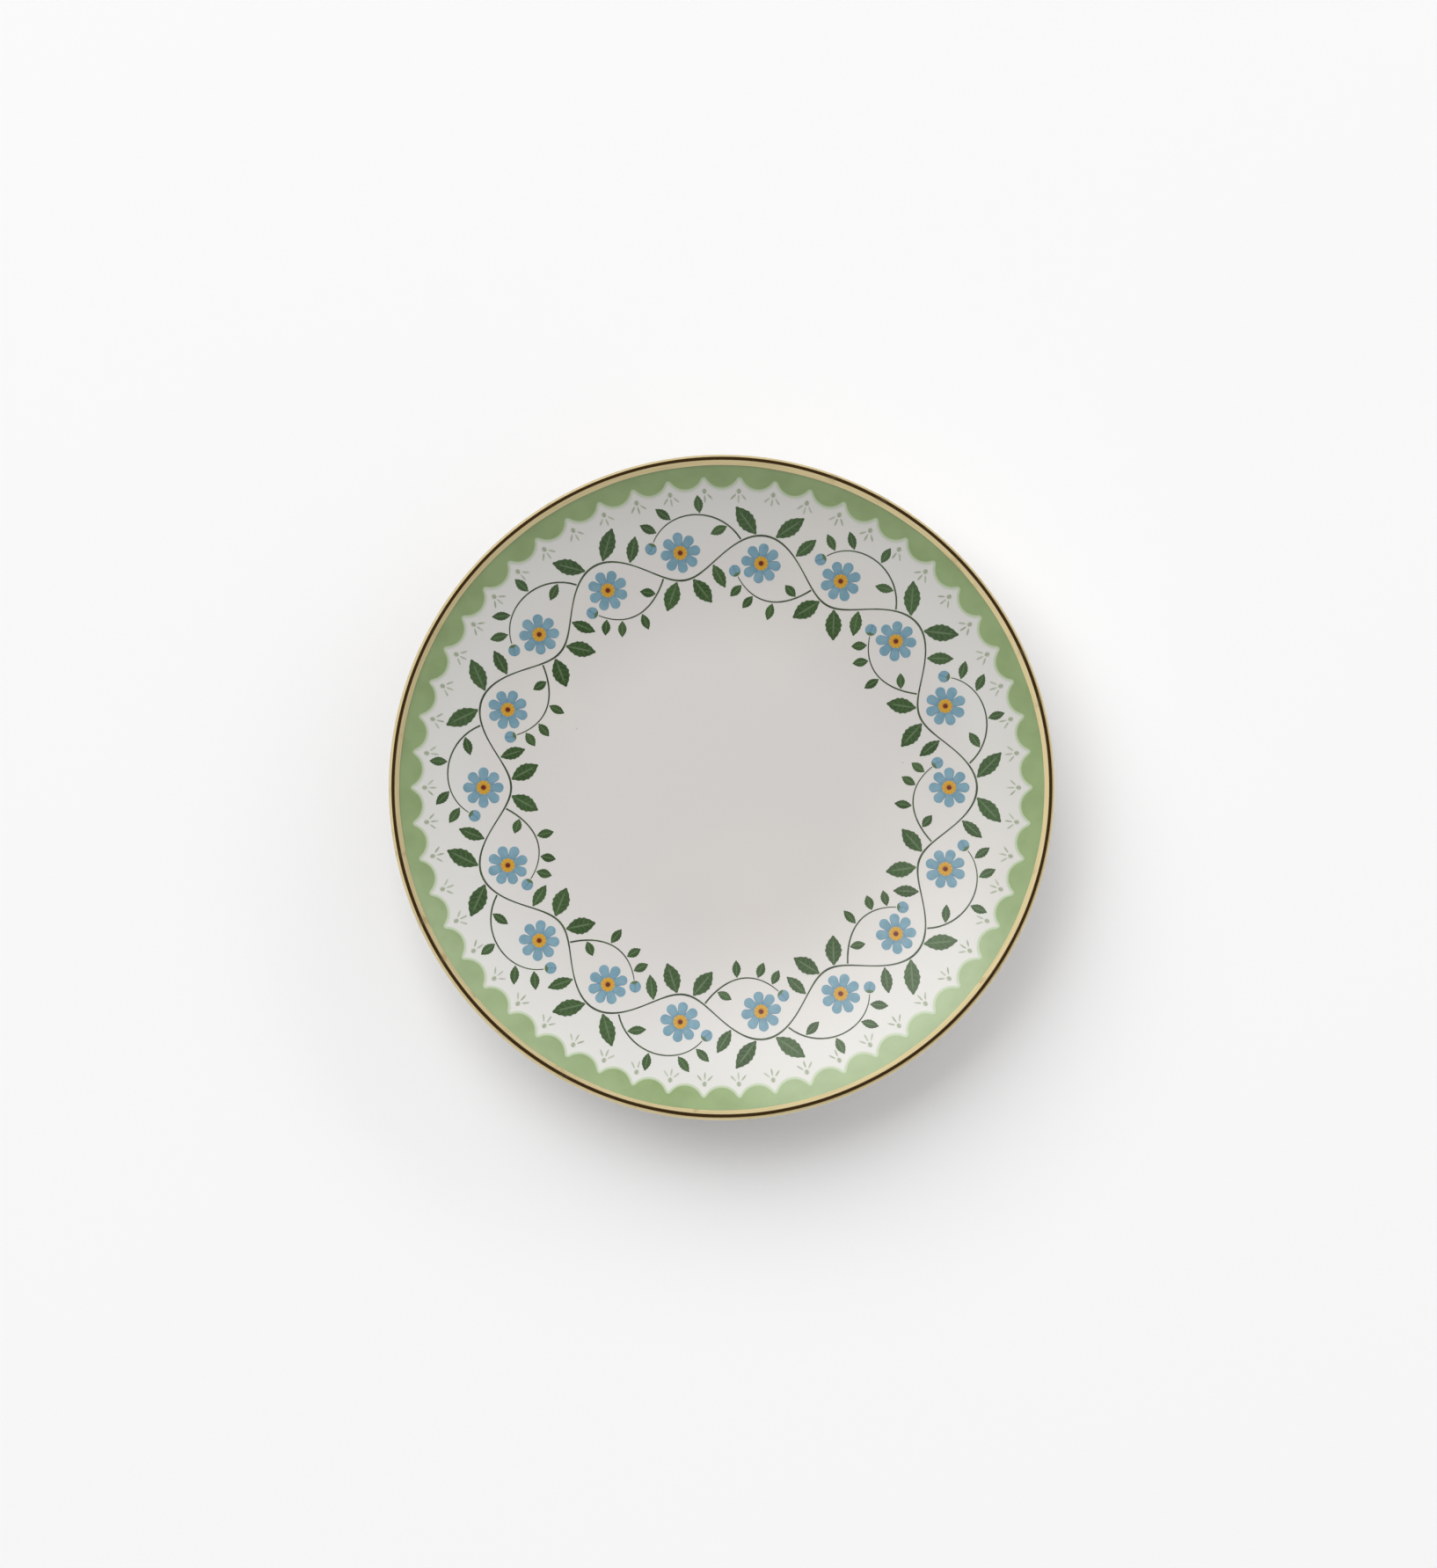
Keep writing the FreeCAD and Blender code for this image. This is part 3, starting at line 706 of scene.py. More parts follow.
scallop_places = []
for index in range(scallop_count):
    scallop_places.append((0, 0, (index + 0.5) * scallop_angle, (1, 1), EVEN_TONE))
scallop = film_motif("scallop_motif", scallop_rows(), ends="open")
scallop_border = printed_piece("scallop_border_print", scallop, scallop_places, sage_enamel())
fixed(scallop_border, "scallop_border")

# Border pearls
# A dot of pale olive enamel under each notch of the border, as many as there are scallops. Each is a drop
# that is set down on the glaze and fired, so that its middle stands up a little.
PEARL_DIAMETER = 0.75 * MM
DISC_ROWS = 8
DISC_END_TRIM = 0.35
FILM_COLUMNS = 4
PEARL_OLIVE = (156, 165, 141)
PEARL_PALE = (184, 190, 172)
PEARL_GRAIN_SIZE = 0.2 * MM


def film_row(x, half_width, along, reach=1.0):
    """A row of a motif's points across it at x, where across runs up to this reach."""
    shares = [2 * column / FILM_COLUMNS - 1 for column in range(FILM_COLUMNS + 1)]
    return [(x, share * half_width, along, share * reach) for share in shares]


def disc_rows():
    """A round motif of unit diameter about its own centre."""
    rows = []
    for number in range(DISC_ROWS + 1):
        turn = math.pi * (number + DISC_END_TRIM) / (DISC_ROWS + 2 * DISC_END_TRIM)
        along = -math.cos(turn)
        rows.append(film_row(along / 2, math.sin(turn) / 2, along, math.sin(turn)))
    return rows


def pearl_enamel():
    """Pale olive, fuller in the middle of the drop."""
    finish = Finish("pearl_olive_enamel")
    middle = finish.named("inset").rising(0.1, 0.8)
    grain = finish.noise(PEARL_GRAIN_SIZE)
    return enamel_finish(finish, finish.mixed(middle * (0.75 + grain * 0.5), PEARL_PALE, PEARL_OLIVE))


notch_turns = [index * scallop_angle for index in range(scallop_count)]
pearl_size = (PEARL_DIAMETER, PEARL_DIAMETER)
pearl_places = [(*polar(scallop_tip, turn), turn, pearl_size, EVEN_TONE) for turn in notch_turns]
pearl = film_motif("pearl_motif", disc_rows())
border_pearls = printed_piece("border_pearl_dots", pearl, pearl_places, pearl_enamel())
fixed(border_pearls, "border_pearls")

# Vine stem and tendrils
# A fine dark-green line drawn round the wall in nine waves, and a tendril that curls under each bend of it.
# The strokes swell and thin as a loaded brush does.
WREATH_GAP = 1.6 * MM
WREATH_WIDTH = 16.0 * MM
VINE_AMPLITUDE = 3.4 * MM
VINE_WIDTH = 0.3 * MM
VINE_SWELL_SHARE = 0.18
VINE_STEPS_PER_WAVE = 40
TENDRIL_WIDTH = 0.25 * MM
TENDRIL_TAPER_SHARE = 0.45
TENDRIL_STEPS = 24
TENDRIL_START_SHARE = -0.72
TENDRIL_END_DIRECTION = math.radians(325)
TENDRIL_CLEARANCE_SHARE = 0.09
BLOSSOM_SHARE = 0.5
BLOSSOM_OFFSET_SHARE = 0.064
PRINT_GAP = 0.15 * MM
STROKE_SIDES = 8
STEM_DARK = (50, 62, 44)
STEM_GREEN = (80, 97, 66)
STEM_TONE_SIZE = 1.8 * MM
STEM_GRAIN_SIZE = 0.14 * MM

vine_radius = scallop_tip - WREATH_GAP - WREATH_WIDTH / 2
half_wave = math.pi * vine_radius / VINE_WAVES
blossom_radius = BLOSSOM_SHARE * half_wave / 2
blossom_offset = BLOSSOM_OFFSET_SHARE * half_wave
tendril_end_radius = blossom_radius + TENDRIL_CLEARANCE_SHARE * half_wave
bends = range(2 * VINE_WAVES)


def on_ring(bend, along, out):
    """A point beside a bend of the vine: along its mean line and out towards that bend's crest."""
    side = 1 if bend % 2 == 0 else -1
    return polar(vine_radius + side * out, (bend * half_wave + along) / vine_radius)


def vine_out(share):
    """How far the vine stands out from its mean line, in half waves from a crest."""
    return VINE_AMPLITUDE * math.cos(math.pi * share)


def tendril_point(share):
    """A point of the spiral under a blossom, and its direction about the blossom."""
    start_along = TENDRIL_START_SHARE * half_wave
    start_out = vine_out(TENDRIL_START_SHARE) + blossom_offset - VINE_WIDTH / 2 - PRINT_GAP
    start_radius = math.hypot(start_along, start_out)
    start = math.atan2(start_out, start_along) % (2 * math.pi)
    heading = start + (TENDRIL_END_DIRECTION - start) * share
    radius = tendril_end_radius + (start_radius - tendril_end_radius) * (1 - share) ** 2
    return radius * math.cos(heading), radius * math.sin(heading) - blossom_offset, heading


# Lines drawn from above become strokes: a flat oval section as wide as each point says, laid on the wall.
brushing = Growth("brush_strokes", {"Film": "Float", "Sides": "Int", **WALL_INPUTS})
brush_lines = brushing.add("GeometryNodeMeshToCurve", {}, {"Mesh": brushing.given["Geometry"]})
section_sockets = {"Resolution": brushing.given["Sides"], "Radius": 0.5}
brush_section = brushing.add("GeometryNodeCurvePrimitiveCircle", {}, section_sockets)
stroke_sockets = {"Curve": brush_lines, "Profile Curve": brush_section, "Fill Caps": True}
stroke_sockets["Scale"] = brushing.carried("width")
round_strokes = brushing.add("GeometryNodeCurveToMesh", {}, stroke_sockets)
stroke_x, stroke_y, stroke_z = brushing.position().parts()
pressed_z = (stroke_z / VINE_WIDTH + 0.5) * brushing.given["Film"]
flat_strokes = brushing.moved(round_strokes, brushing.vector(stroke_x, stroke_y, pressed_z))
brushing.done(laid_on_wall(brushing, flat_strokes))


def stroke_piece(name, lines, finish):
    """Brush strokes along lines of (x, y, width); a line whose ends meet becomes a ring."""
    points, widths, edges = [], [], []
    for line in lines:
        first = len(points)
        ring = math.dist(line[0][:2], line[-1][:2]) < WELD_DISTANCE
        drawn = line[:-1] if ring else line
        points += [(x, y, 0) for x, y, _ in drawn]
        widths += [width for _, _, width in drawn]
        edges += [(index, index + 1) for index in range(first, len(points) - 1)]
        if ring:
            edges.append((len(points) - 1, first))
    mesh = bpy.data.meshes.new(name)
    mesh.from_pydata(points, edges, [])
    mesh.attributes.new("width", "FLOAT", "POINT").data.foreach_set("value", widths)
    piece = new_piece(name, mesh)
    grown(piece, brushing, {"Film": PRINT_FILM, "Sides": STROKE_SIDES, "Finish": finish, **wall_values})
    return piece


def stem_enamel():
    """Dark green, uneven as the brush empties."""
    finish = Finish("stem_green_enamel")
    tone = finish.noise(STEM_TONE_SIZE, 4.0)
    grain = finish.noise(STEM_GRAIN_SIZE)
    shade = tone.rising(0.38, 0.66) * 0.8 + grain * 0.2
    return enamel_finish(finish, finish.mixed(shade, STEM_DARK, STEM_GREEN))


stem_steps = VINE_WAVES * VINE_STEPS_PER_WAVE
stem_line = []
for index in range(stem_steps + 1):
    angle = 2 * math.pi * index / stem_steps
    pressure = 1 - VINE_SWELL_SHARE + VINE_SWELL_SHARE * math.cos(2 * VINE_WAVES * angle)
    radius = vine_radius + VINE_AMPLITUDE * math.cos(VINE_WAVES * angle)
    stem_line.append((*polar(radius, angle), VINE_WIDTH * pressure))
vine_lines = [stem_line]
for bend in bends:
    tendril = []
    for index in range(TENDRIL_STEPS + 1):
        share = index / TENDRIL_STEPS
        along, out, _ = tendril_point(share)
        tendril.append((*on_ring(bend, along, out), TENDRIL_WIDTH * (1 - TENDRIL_TAPER_SHARE * share)))
    vine_lines.append(tendril)
vine_stem = stroke_piece("vine_stem_strokes", vine_lines, stem_enamel())
fixed(vine_stem, "vine_stem")

# Laurel leaves
# Pointed leaves printed in dark green along the vine, a pair on every crest and smaller ones on the tendrils.
# Each has a pale midrib, side veins, and a toothed edge where the screen print breaks up.
LEAF_ROWS = 12
# Length and width, as shares of a half wave
LARGE_LEAF_SHARES = (0.4, 0.22)
MIDDLE_LEAF_SHARES = (0.32, 0.16)
SMALL_LEAF_SHARES = (0.21, 0.12)
# On the vine: place from the crest in half waves, direction in degrees, size
VINE_LEAF_SHARES = ((-0.10, 128, LARGE_LEAF_SHARES), (0.10, 52, LARGE_LEAF_SHARES),
                    (0.62, 240, MIDDLE_LEAF_SHARES))
# On the tendril: place along it, lean from straight outwards in degrees, size
TENDRIL_LEAF_SHARES = ((0.12, 180, SMALL_LEAF_SHARES), (0.35, 35, SMALL_LEAF_SHARES),
                       (0.62, 35, SMALL_LEAF_SHARES), (0.86, 10, SMALL_LEAF_SHARES))
LEAF_TOOTH = 0.12
LEAF_STALK = 0.05
LEAF_VEINS = 6
LEAF_VEIN_SLANT = 0.16
# The least and the most of its full length and width that a leaf reaches
LEAF_LENGTH_SHARES = (0.95, 1.0)
LEAF_WIDTH_SHARES = (0.9, 1.0)
LEAF_SEED = 7
LEAF_GRAIN_SIZE = 0.18 * MM
LEAF_CLOUD_SIZE = 1.1 * MM
LEAF_DARK = (44, 70, 32)
LEAF_GREEN = (68, 95, 53)
LEAF_RIB = (112, 134, 98)


def leaf_rows():
    """A pointed leaf of unit length and width from its stalk along +X, its edge slightly toothed."""
    rows = []
    for number in range(LEAF_ROWS + 1):
        share = number / LEAF_ROWS
        half_width = max(2 * share * (1 - share), LEAF_STALK)
        if number % 2:
            half_width *= 1 - LEAF_TOOTH
        rows.append(film_row(share, half_width, share))
    return rows


def leaf_enamel():
    """Dark green with a pale midrib and side veins, and a lighter edge where the print breaks up."""
    finish = Finish("leaf_green_enamel")
    along = finish.named("along")
    across = finish.named("across").math("ABSOLUTE")
    grain = finish.noise(LEAF_GRAIN_SIZE, 3.0)
    cloud = finish.noise(LEAF_CLOUD_SIZE)
    shade = finish.named("tone") * 0.55 + cloud.rising(0.35, 0.7) * 0.3 + grain * 0.25
    colour = finish.mixed(shade, LEAF_DARK, LEAF_GREEN)
    rib = 1 - across.rising(0.06, 0.2 - along * 0.08)
    vein_wave = ((along - across * LEAF_VEIN_SLANT) * (2 * math.pi * LEAF_VEINS)).math("SINE")
    vein = vein_wave.rising(0.72, 0.95) * (1 - across.rising(0.6, 0.9))
    drawn = (rib * 0.55).math("MAXIMUM", vein * 0.3) * (1 - along.rising(0.75, 0.98))
    colour = finish.mixed(drawn, colour, LEAF_RIB)
    broken_edge = (across + (grain - 0.5) * 0.3).rising(0.8, 1.0)
    colour = finish.mixed(broken_edge * 0.35, colour, LEAF_RIB)
    return enamel_finish(finish, colour)


leaf_chance = random.Random(LEAF_SEED)
stem_gap = VINE_WIDTH / 2 + PRINT_GAP
tendril_gap = TENDRIL_WIDTH / 2 + PRINT_GAP
leaf_places = []


def add_leaf(bend, along, out, heading, size_shares):
    """Notes a leaf that grows from a place beside a bend, as long and wide as its shares or a little less."""
    length, width = [share * half_wave for share in size_shares]
    base = on_ring(bend, along, out)
    tip = on_ring(bend, along + length * math.cos(heading), out + length * math.sin(heading))
    turn = math.atan2(tip[1] - base[1], tip[0] - base[0])
    fullness = leaf_chance.uniform(*LEAF_WIDTH_SHARES)
    spread = (math.dist(base, tip) * leaf_chance.uniform(*LEAF_LENGTH_SHARES), width * fullness)
    leaf_places.append((*base, turn, spread, leaf_chance.random()))


for bend in bends:
    for share, degrees, size_shares in VINE_LEAF_SHARES:
        heading = math.radians(degrees)
        along = share * half_wave + stem_gap * math.cos(heading)
        add_leaf(bend, along, vine_out(share) + stem_gap * math.sin(heading), heading, size_shares)
    for share, lean, size_shares in TENDRIL_LEAF_SHARES:
        along, out, around = tendril_point(share)
        heading = around + math.radians(lean)
        along += tendril_gap * math.cos(heading)
        add_leaf(bend, along, out + tendril_gap * math.sin(heading), heading, size_shares)
leaf = film_motif("leaf_motif", leaf_rows())
laurel_leaves = printed_piece("laurel_leaf_prints", leaf, leaf_places, leaf_enamel())
fixed(laurel_leaves, "laurel_leaves")

# Border fans
# Three short strokes of the pearls' olive that fan out under each pearl towards the well, put down with the
# point of the brush: each swells and ends in a taper. A stroke that would run into a leaf is left out.
FAN_SPREAD = math.radians(43)
FAN_START = 0.62 * MM
FAN_LENGTH = 1.12 * MM
FAN_WIDTH = 0.26 * MM
FAN_TIP_SHARE = 0.25
FAN_SWELL_POWER = 0.7
FAN_STEPS = 6
FAN_TONE_SIZE = 1.2 * MM


def meets_leaf(x, y):
    """Whether the point of the brush would touch a leaf here."""
    for leaf_x, leaf_y, turn, (length, width), _ in leaf_places:
        run_x = x - leaf_x
        run_y = y - leaf_y
        along = run_x * math.cos(turn) + run_y * math.sin(turn)
        across = run_y * math.cos(turn) - run_x * math.sin(turn)
        share = min(max(along / length, 0), 1)
        beside = max(abs(across) - 2 * share * (1 - share) * width, 0)
        if math.hypot(along - share * length, beside) < FAN_WIDTH / 2 + PRINT_GAP:
            return True
    return False


def fan_enamel():
    """The pearls' olive, uneven in tone."""
    finish = Finish("fan_olive_enamel")
    tone = finish.noise(FAN_TONE_SIZE, 3.0)
    return enamel_finish(finish, finish.mixed(tone.rising(0.35, 0.68), PEARL_PALE, PEARL_OLIVE))


fan_lines = []
for notch_turn in notch_turns:
    pearl_x, pearl_y = polar(scallop_tip, notch_turn)
    for fan_turn in (-FAN_SPREAD, 0.0, FAN_SPREAD):
        fan_stroke = []
        for step in range(FAN_STEPS + 1):
            share = step / FAN_STEPS
            x, y = polar(FAN_START + FAN_LENGTH * share, notch_turn + math.pi + fan_turn)
            swell = math.sin(math.pi * share) ** FAN_SWELL_POWER
            pressure = FAN_TIP_SHARE + (1 - FAN_TIP_SHARE) * swell
            fan_stroke.append((pearl_x + x, pearl_y + y, FAN_WIDTH * pressure))
        if not any(meets_leaf(x, y) for x, y, _ in fan_stroke):
            fan_lines.append(fan_stroke)
border_fans = stroke_piece("border_fan_strokes", fan_lines, fan_enamel())
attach(border_fans, "root")

# Blossom petals
# Eight round-ended petals of soft blue enamel about each blossom's centre. The blue is stippled, darker at
# the petals' edges and bases, and its outline is soft.
PETAL_COUNT = 8
PETAL_NOTCH_SHARE = 0.5
PETAL_SHOULDER_SHARE = 0.8
PETAL_FILL_SHARE = 0.82
PETAL_HAIRLINE = 0.02 * MM
PETAL_ROUND_ROWS = 5
PETAL_END_TRIM = 0.5
PETAL_REACH_SHARES = (0.97, 1.0)
PETAL_SEED = 11
BLOSSOM_CENTRE_SHARE = 0.35
STIPPLE_SIZE = 0.2 * MM
WASH_SIZE = 1.4 * MM
PETAL_BLUE = (107, 145, 162)
PETAL_LIGHT = (126, 161, 176)
PETAL_DEEP = (86, 121, 145)

centre_radius = BLOSSOM_CENTRE_SHARE * blossom_radius


def petal_rows():
    """One petal along +X in the blossom's frame, from the rim of the centre to its own round end."""
    half_step = math.pi / PETAL_COUNT
    shoulder = blossom_radius * PETAL_SHOULDER_SHARE
    shoulder_x = shoulder * math.cos(half_step * PETAL_FILL_SHARE)
    shoulder_half = shoulder * math.sin(half_step * PETAL_FILL_SHARE)
    notch = polar(blossom_radius * PETAL_NOTCH_SHARE, half_step)
    base = polar(centre_radius, half_step)
    outline = [base, ((base[0] + notch[0]) / 2, (base[1] + notch[1]) / 2), notch]
    outline += [((notch[0] + shoulder_x) / 2, (notch[1] + shoulder_half) / 2), (shoulder_x, shoulder_half)]
    for number in range(1, PETAL_ROUND_ROWS + 1):
        turn = 0.5 * math.pi * number / (PETAL_ROUND_ROWS + PETAL_END_TRIM)
        reach = (blossom_radius - shoulder_x) * math.sin(turn)
        outline.append((shoulder_x + reach, shoulder_half * math.cos(turn)))
    rows = []
    for x, half_width in outline:
        along = (x - base[0]) / (blossom_radius - base[0])
        rows.append(film_row(x, half_width - PETAL_HAIRLINE, along))
    return rows


def petal_enamel():
    """Stippled blue, deeper at the base and between the petals, with a soft pale outline."""
    finish = Finish("petal_blue_enamel")
    along = finish.named("along")
    across = finish.named("across").math("ABSOLUTE")
    stipple = finish.noise(STIPPLE_SIZE, 3.0)
    wash = finish.noise(WASH_SIZE)
    shade = wash.rising(0.32, 0.7) * 0.6 + finish.named("tone") * 0.3 + stipple * 0.2
    colour = finish.mixed(shade, PETAL_BLUE, PETAL_LIGHT)
    fold = across.rising(0.72, 1.0) * (1 - along.rising(0.35, 0.75))
    base = 1 - along.rising(0.0, 0.3)
    colour = finish.mixed((fold * 0.75).math("MAXIMUM", base * 0.35), colour, PETAL_DEEP)
    outline = 1 - finish.named("inset") + (stipple - 0.5) * 0.3
    rim = outline.rising(0.86, 1.0) * along.rising(0.4, 0.7)
    return enamel_finish(finish, finish.mixed(rim * 0.4, colour, PETAL_LIGHT))


petal_chance = random.Random(PETAL_SEED)
blossom_places = [on_ring(bend, 0, -blossom_offset) for bend in bends]
petal_places = []
for x, y in blossom_places:
    for index in range(PETAL_COUNT):
        turn = math.atan2(y, x) + 2 * math.pi * index / PETAL_COUNT
        reach = petal_chance.uniform(*PETAL_REACH_SHARES)
        petal_places.append((x, y, turn, (reach, 1), petal_chance.random()))
petal = film_motif("petal_motif", petal_rows())
blossom_petals = printed_piece("blossom_petal_prints", petal, petal_places, petal_enamel())
fixed(blossom_petals, "blossom_petals")

# Blossom centres
# A ring of amber enamel in each blossom, deeper towards its eye, with a crown of small strokes about it. It
# is a colour of its own in the print, and fills the round that the petals leave.
BLOSSOM_EYE_SHARE = 0.12
CENTRE_STEPS = 20
CENTRE_ROW_SHARES = (0.0, 0.3, 0.7, 1.0)
CENTRE_RAYS = 10
AMBER_GRAIN_SIZE = 0.15 * MM
AMBER = (204, 157, 50)
AMBER_DEEP = (176, 117, 27)

eye_radius = BLOSSOM_EYE_SHARE * blossom_radius


def centre_rows():
    """A ring about its own centre: rows from the eye's edge out to the petals."""
    rows = []
    for number in range(CENTRE_STEPS):
        turn = 2 * math.pi * number / CENTRE_STEPS
        row = []
        for part in CENTRE_ROW_SHARES:
            radius = eye_radius + (centre_radius - eye_radius) * part
            row.append((*polar(radius, turn), turn, part))
        rows.append(row)
    return rows


def amber_enamel():
    """Amber with a crown of darker rays, deeper towards the eye."""
    finish = Finish("amber_enamel")
    out = finish.named("across")
    grain = finish.noise(AMBER_GRAIN_SIZE, 3.0)
    rays = (finish.named("along") * CENTRE_RAYS).math("SINE").rising(-0.2, 0.9) * out.rising(0.25, 0.6)
    shade = rays * 0.45 + (1 - out.rising(0.0, 0.45)) * 0.7 + (grain - 0.5) * 0.3
    return enamel_finish(finish, finish.mixed(shade, AMBER, AMBER_DEEP))


centre_places = [(x, y, math.atan2(y, x), (1, 1), EVEN_TONE) for x, y in blossom_places]
centre = film_motif("centre_motif", centre_rows(), ends="looped")
blossom_centres = printed_piece("blossom_centre_rings", centre, centre_places, amber_enamel())
fixed(blossom_centres, "blossom_centres")

# Blossom eyes
# A dot of red-brown enamel at the middle of each blossom, within the amber ring. It is the smallest motif of
# the print, and lies on the glaze beside the others.
EYE_BROWN = (124, 44, 22)
EYE_DARK = (96, 30, 14)


def eye_enamel():
    """Red-brown, darker in the middle of the dot."""
    finish = Finish("eye_brown_enamel")
    grain = finish.noise(SCREEN_GRAIN_SIZE)
    share = finish.named("inset").rising(0.1, 0.9) * 0.7 + grain * 0.3
    return enamel_finish(finish, finish.mixed(share, EYE_BROWN, EYE_DARK))


eye_size = 2 * eye_radius - PETAL_HAIRLINE
eye_places = [(x, y, 0, (eye_size, eye_size), EVEN_TONE) for x, y in blossom_places]
eye = film_motif("eye_motif", disc_rows())
blossom_eyes = printed_piece("blossom_eye_dots", eye, eye_places, eye_enamel())
fixed(blossom_eyes, "blossom_eyes")

# Flower buds
# A closed bud of the same blue at each tendril's end, with the seams of its furled petals drawn in and a
# green cup where it meets the tendril.
BUD_SHARE = 0.144
BUD_CUP = (86, 112, 76)


def bud_enamel():
    """The petals' blue with dark seams, and green where the cup holds the bud."""
    finish = Finish("bud_blue_enamel")
    along = finish.named("along")
    across = finish.named("across")
    stipple = finish.noise(STIPPLE_SIZE, 3.0)
    colour = finish.mixed(stipple.rising(0.35, 0.7), PETAL_BLUE, PETAL_LIGHT)
    seam = (across * 2.2 + along * 0.5).math("SINE").math("ABSOLUTE")
    colour = finish.mixed((1 - seam.rising(0.05, 0.3)) * 0.7, colour, PETAL_DEEP)
    height = along + across.math("ABSOLUTE") * 0.35 + (stipple - 0.5) * 0.2
    colour = finish.mixed(1 - height.rising(-0.5, -0.3), colour, BUD_CUP)
    return enamel_finish(finish, colour)


tip_along, tip_out, tip_heading = tendril_point(1)
bud_diameter = BUD_SHARE * half_wave
bud_step = bud_diameter / 2 + PRINT_GAP
bud_along = tip_along - bud_step * math.sin(tip_heading)
bud_out = tip_out + bud_step * math.cos(tip_heading)
bud_places = []
for bend in bends:
    tip_x, tip_y = on_ring(bend, tip_along, tip_out)
    x, y = on_ring(bend, bud_along, bud_out)
    turn = math.atan2(y - tip_y, x - tip_x)
    bud_places.append((x, y, turn, (bud_diameter, bud_diameter), EVEN_TONE))
bud = film_motif("bud_motif", disc_rows())
flower_buds = printed_piece("flower_bud_prints", bud, bud_places, bud_enamel())
fixed(flower_buds, "flower_buds")

# Table
# A plain pale table top, only there to stand on and to take the shadow. It is matt, so that it doesn't
# mirror the dish.
TABLE_HALF_WIDTH = 3.0
TABLE_CORNERS = ((-1, -1), (1, -1), (1, 1), (-1, 1))
TABLE_WHITE = (250, 250, 250)
TABLE_GREY = (240, 240, 240)
TABLE_CLOUD_SIZE = 400 * MM


def white_table():
    """Matt white with hardly visible clouds."""
    finish = Finish("table_white")
    colour = finish.mixed(finish.noise(TABLE_CLOUD_SIZE) * 0.08, TABLE_WHITE, TABLE_GREY)
    return finish.done({"Base Color": colour, "Roughness": 0.9, "Specular IOR Level": 0.0})


table_mesh = bpy.data.meshes.new("table_top")
table_corners = [(x * TABLE_HALF_WIDTH, y * TABLE_HALF_WIDTH, 0) for x, y in TABLE_CORNERS]
table_mesh.from_pydata(table_corners, [], [(0, 1, 2, 3)])
table_mesh.materials.append(white_table())
table_top = new_piece("table_top", table_mesh)

# Studio light
# A large soft lamp from the upper left and a low strip lamp from the upper right, both flagged off the gold,
# in a white tent that is brighter overhead and on the right. Shiny surfaces see it paler on the left, with a
# dark opening overhead.
KEY_DIRECTION = (-0.395, 0.586, 0.707)
KEY_DISTANCE = 6.0
KEY_SIZE = (5.4, 5.4)
KEY_POWER = 284.0
STRIP_DIRECTION = (0.63, 0.63, 0.454)
STRIP_DISTANCE = 3.0
STRIP_SIZE = (2.8, 0.6)
STRIP_POWER = 11.0
TENT_FILL = 0.35
TENT_LEAN = (0.72, 0.0, 0.6)
TENT_SHOWN = 0.88
SHOWN_LEAN = (-0.17, 0.17, 0.0)
OPENING_DIRECTION = (0.106, 0.199, 0.974)
OPENING_ANGLES = (math.radians(53), math.radians(42))
TENT_WHITE = (255, 255, 255)
OPENING_BROWN = (62, 43, 15)

flagged = bpy.data.collections.new("flagged_off_lamps")
flagged.objects.link(gilt_rim)
flagged.collection_objects[0].light_linking.link_state = "EXCLUDE"


def soft_lamp(name, direction, distance, size, power):
    """An evenly lit rectangle, so wide and so high, that faces the dish and leaves out what is flagged."""
    face = bpy.data.lights.new(name, "AREA")
    face.shape = "RECTANGLE"
    face.size, face.size_y = size
    face.energy = power
    lamp = bpy.data.objects.new(name, face)
    lamp.location = [distance * part for part in direction]
    lamp.rotation_euler = (-lamp.location).to_track_quat("-Z", "Y").to_euler()
    lamp.light_linking.receiver_collection = flagged
    bpy.context.scene.collection.objects.link(lamp)


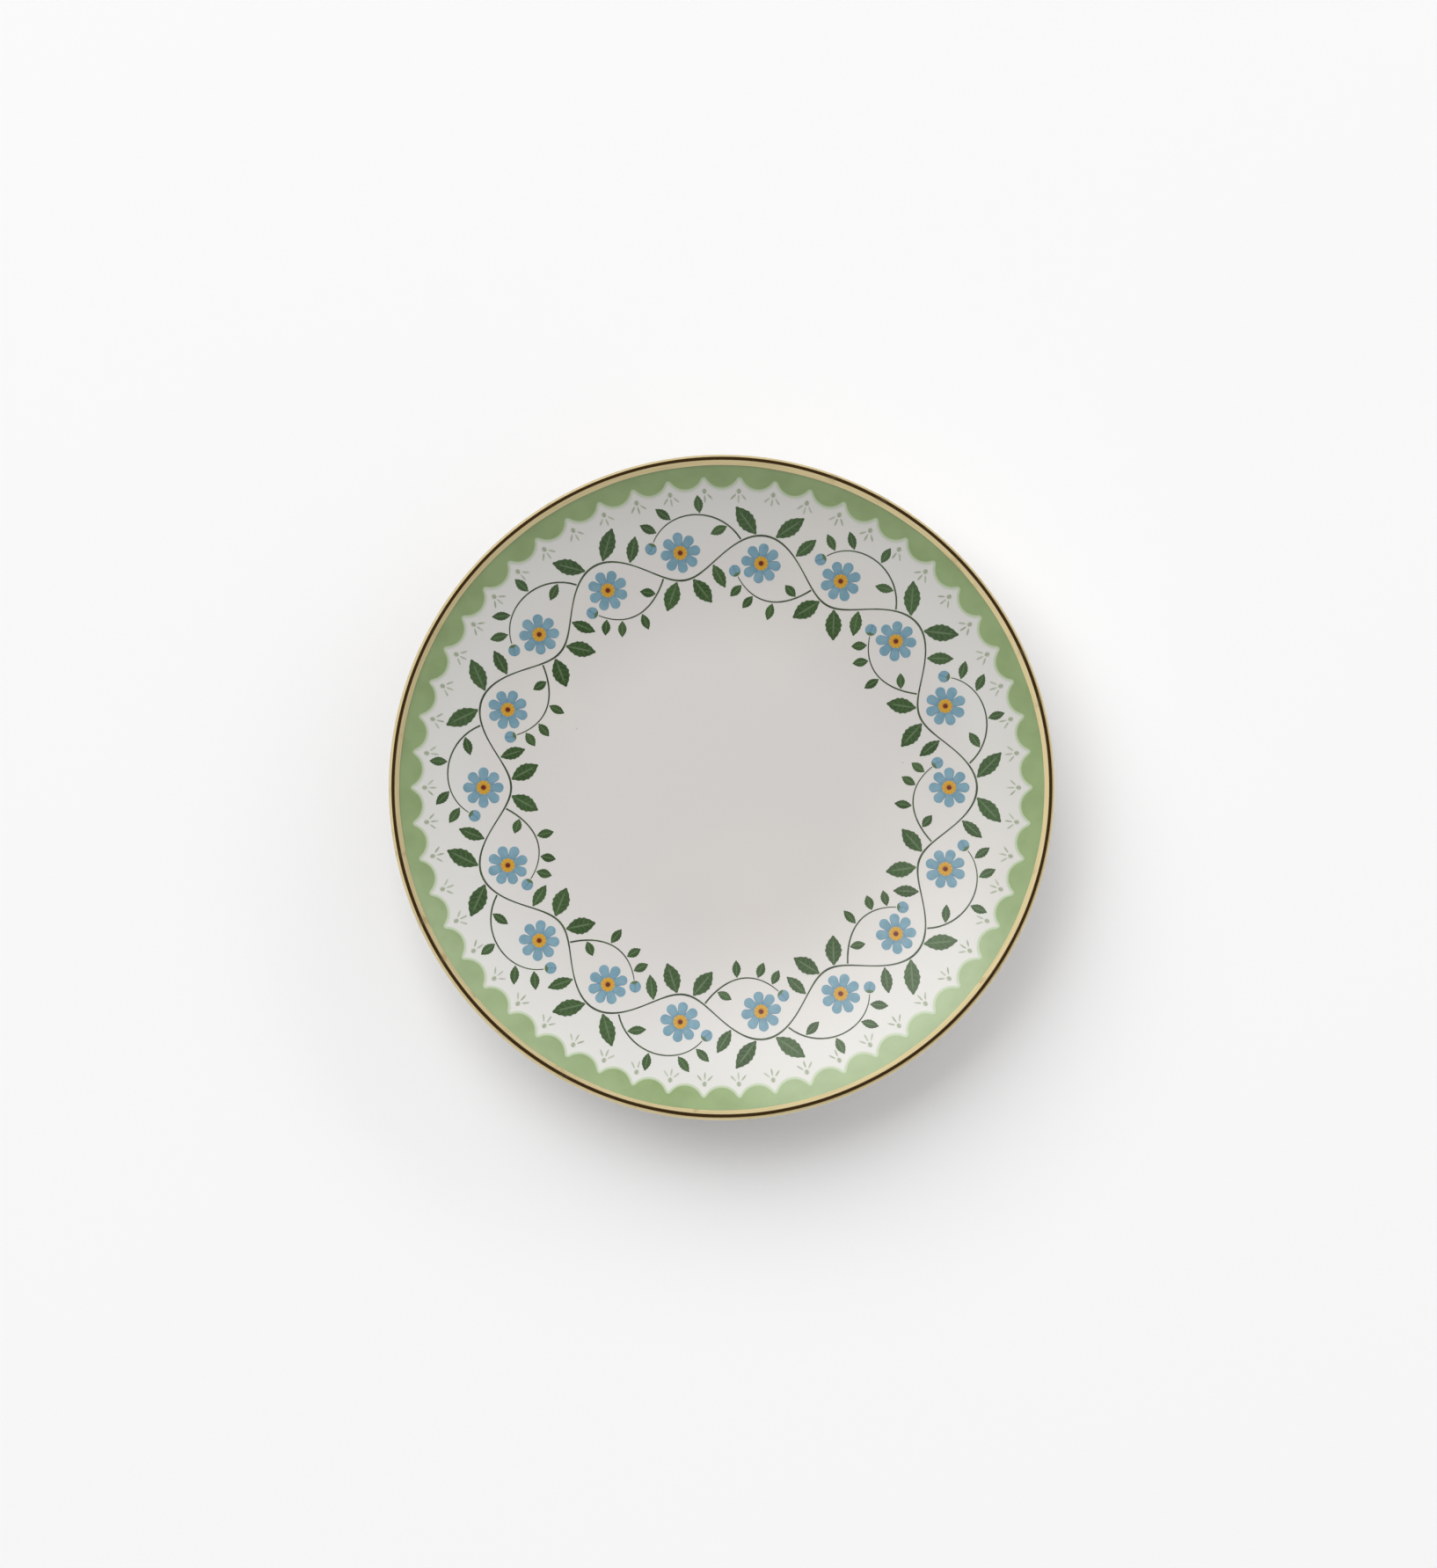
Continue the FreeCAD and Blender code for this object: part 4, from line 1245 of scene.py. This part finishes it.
soft_lamp("key_lamp", KEY_DIRECTION, KEY_DISTANCE, KEY_SIZE, KEY_POWER)
soft_lamp("strip_lamp", STRIP_DIRECTION, STRIP_DISTANCE, STRIP_SIZE, STRIP_POWER)

tent = bpy.data.worlds.new("white_tent")
bpy.context.scene.world = tent
tent.use_nodes = True
tent.node_tree.nodes.clear()
tent_tree = Tree(tent.node_tree)
tent_heading = tent_tree.add("ShaderNodeTexCoord", {}, {}, ["Generated"])[0]


def towards(direction):
    """How far a ray of the tent goes along a direction."""
    sockets = {0: tent_heading, 1: direction}
    return tent_tree.add("ShaderNodeVectorMath", {"operation": "DOT_PRODUCT"}, sockets, ["Value"])[0]


opening = towards(OPENING_DIRECTION).rising(math.cos(OPENING_ANGLES[0]), math.cos(OPENING_ANGLES[1]))
ray_kinds = ["Is Camera Ray", "Is Glossy Ray", "Is Transmission Ray"]
camera_ray, glossy_ray, clear_ray = tent_tree.add("ShaderNodeLightPath", {}, {}, ray_kinds)
shiny_ray = (glossy_ray + clear_ray).math("MINIMUM", 1.0)
shown_level = TENT_SHOWN + towards(SHOWN_LEAN)
fill_level = TENT_FILL * (1 + towards(TENT_LEAN))
tent_level = camera_ray + (1 - camera_ray) * (shiny_ray * shown_level + (1 - shiny_ray) * fill_level)
tent_colour = tent_tree.mixed(opening * shiny_ray, TENT_WHITE, OPENING_BROWN)
tent_light = tent_tree.add("ShaderNodeBackground", {}, {"Color": tent_colour, "Strength": tent_level})
tent_tree.add("ShaderNodeOutputWorld", {}, {"Surface": tent_light})

# Camera
# Straight above the dish, as high as fits its rim into the frame, with a long lens that keeps the dish round
# and hides its outside.
CAMERA_PLACE = (-0.00048, 0.00054, 0.679)
CAMERA_LENS = 100
CAMERA_SENSOR = 36

camera_data = bpy.data.cameras.new("camera")
camera_data.lens = CAMERA_LENS
camera_data.sensor_width = CAMERA_SENSOR
camera = bpy.data.objects.new("camera", camera_data)
camera.location = CAMERA_PLACE
bpy.context.scene.collection.objects.link(camera)
bpy.context.scene.camera = camera
bpy.context.scene.view_settings.view_transform = "Standard"
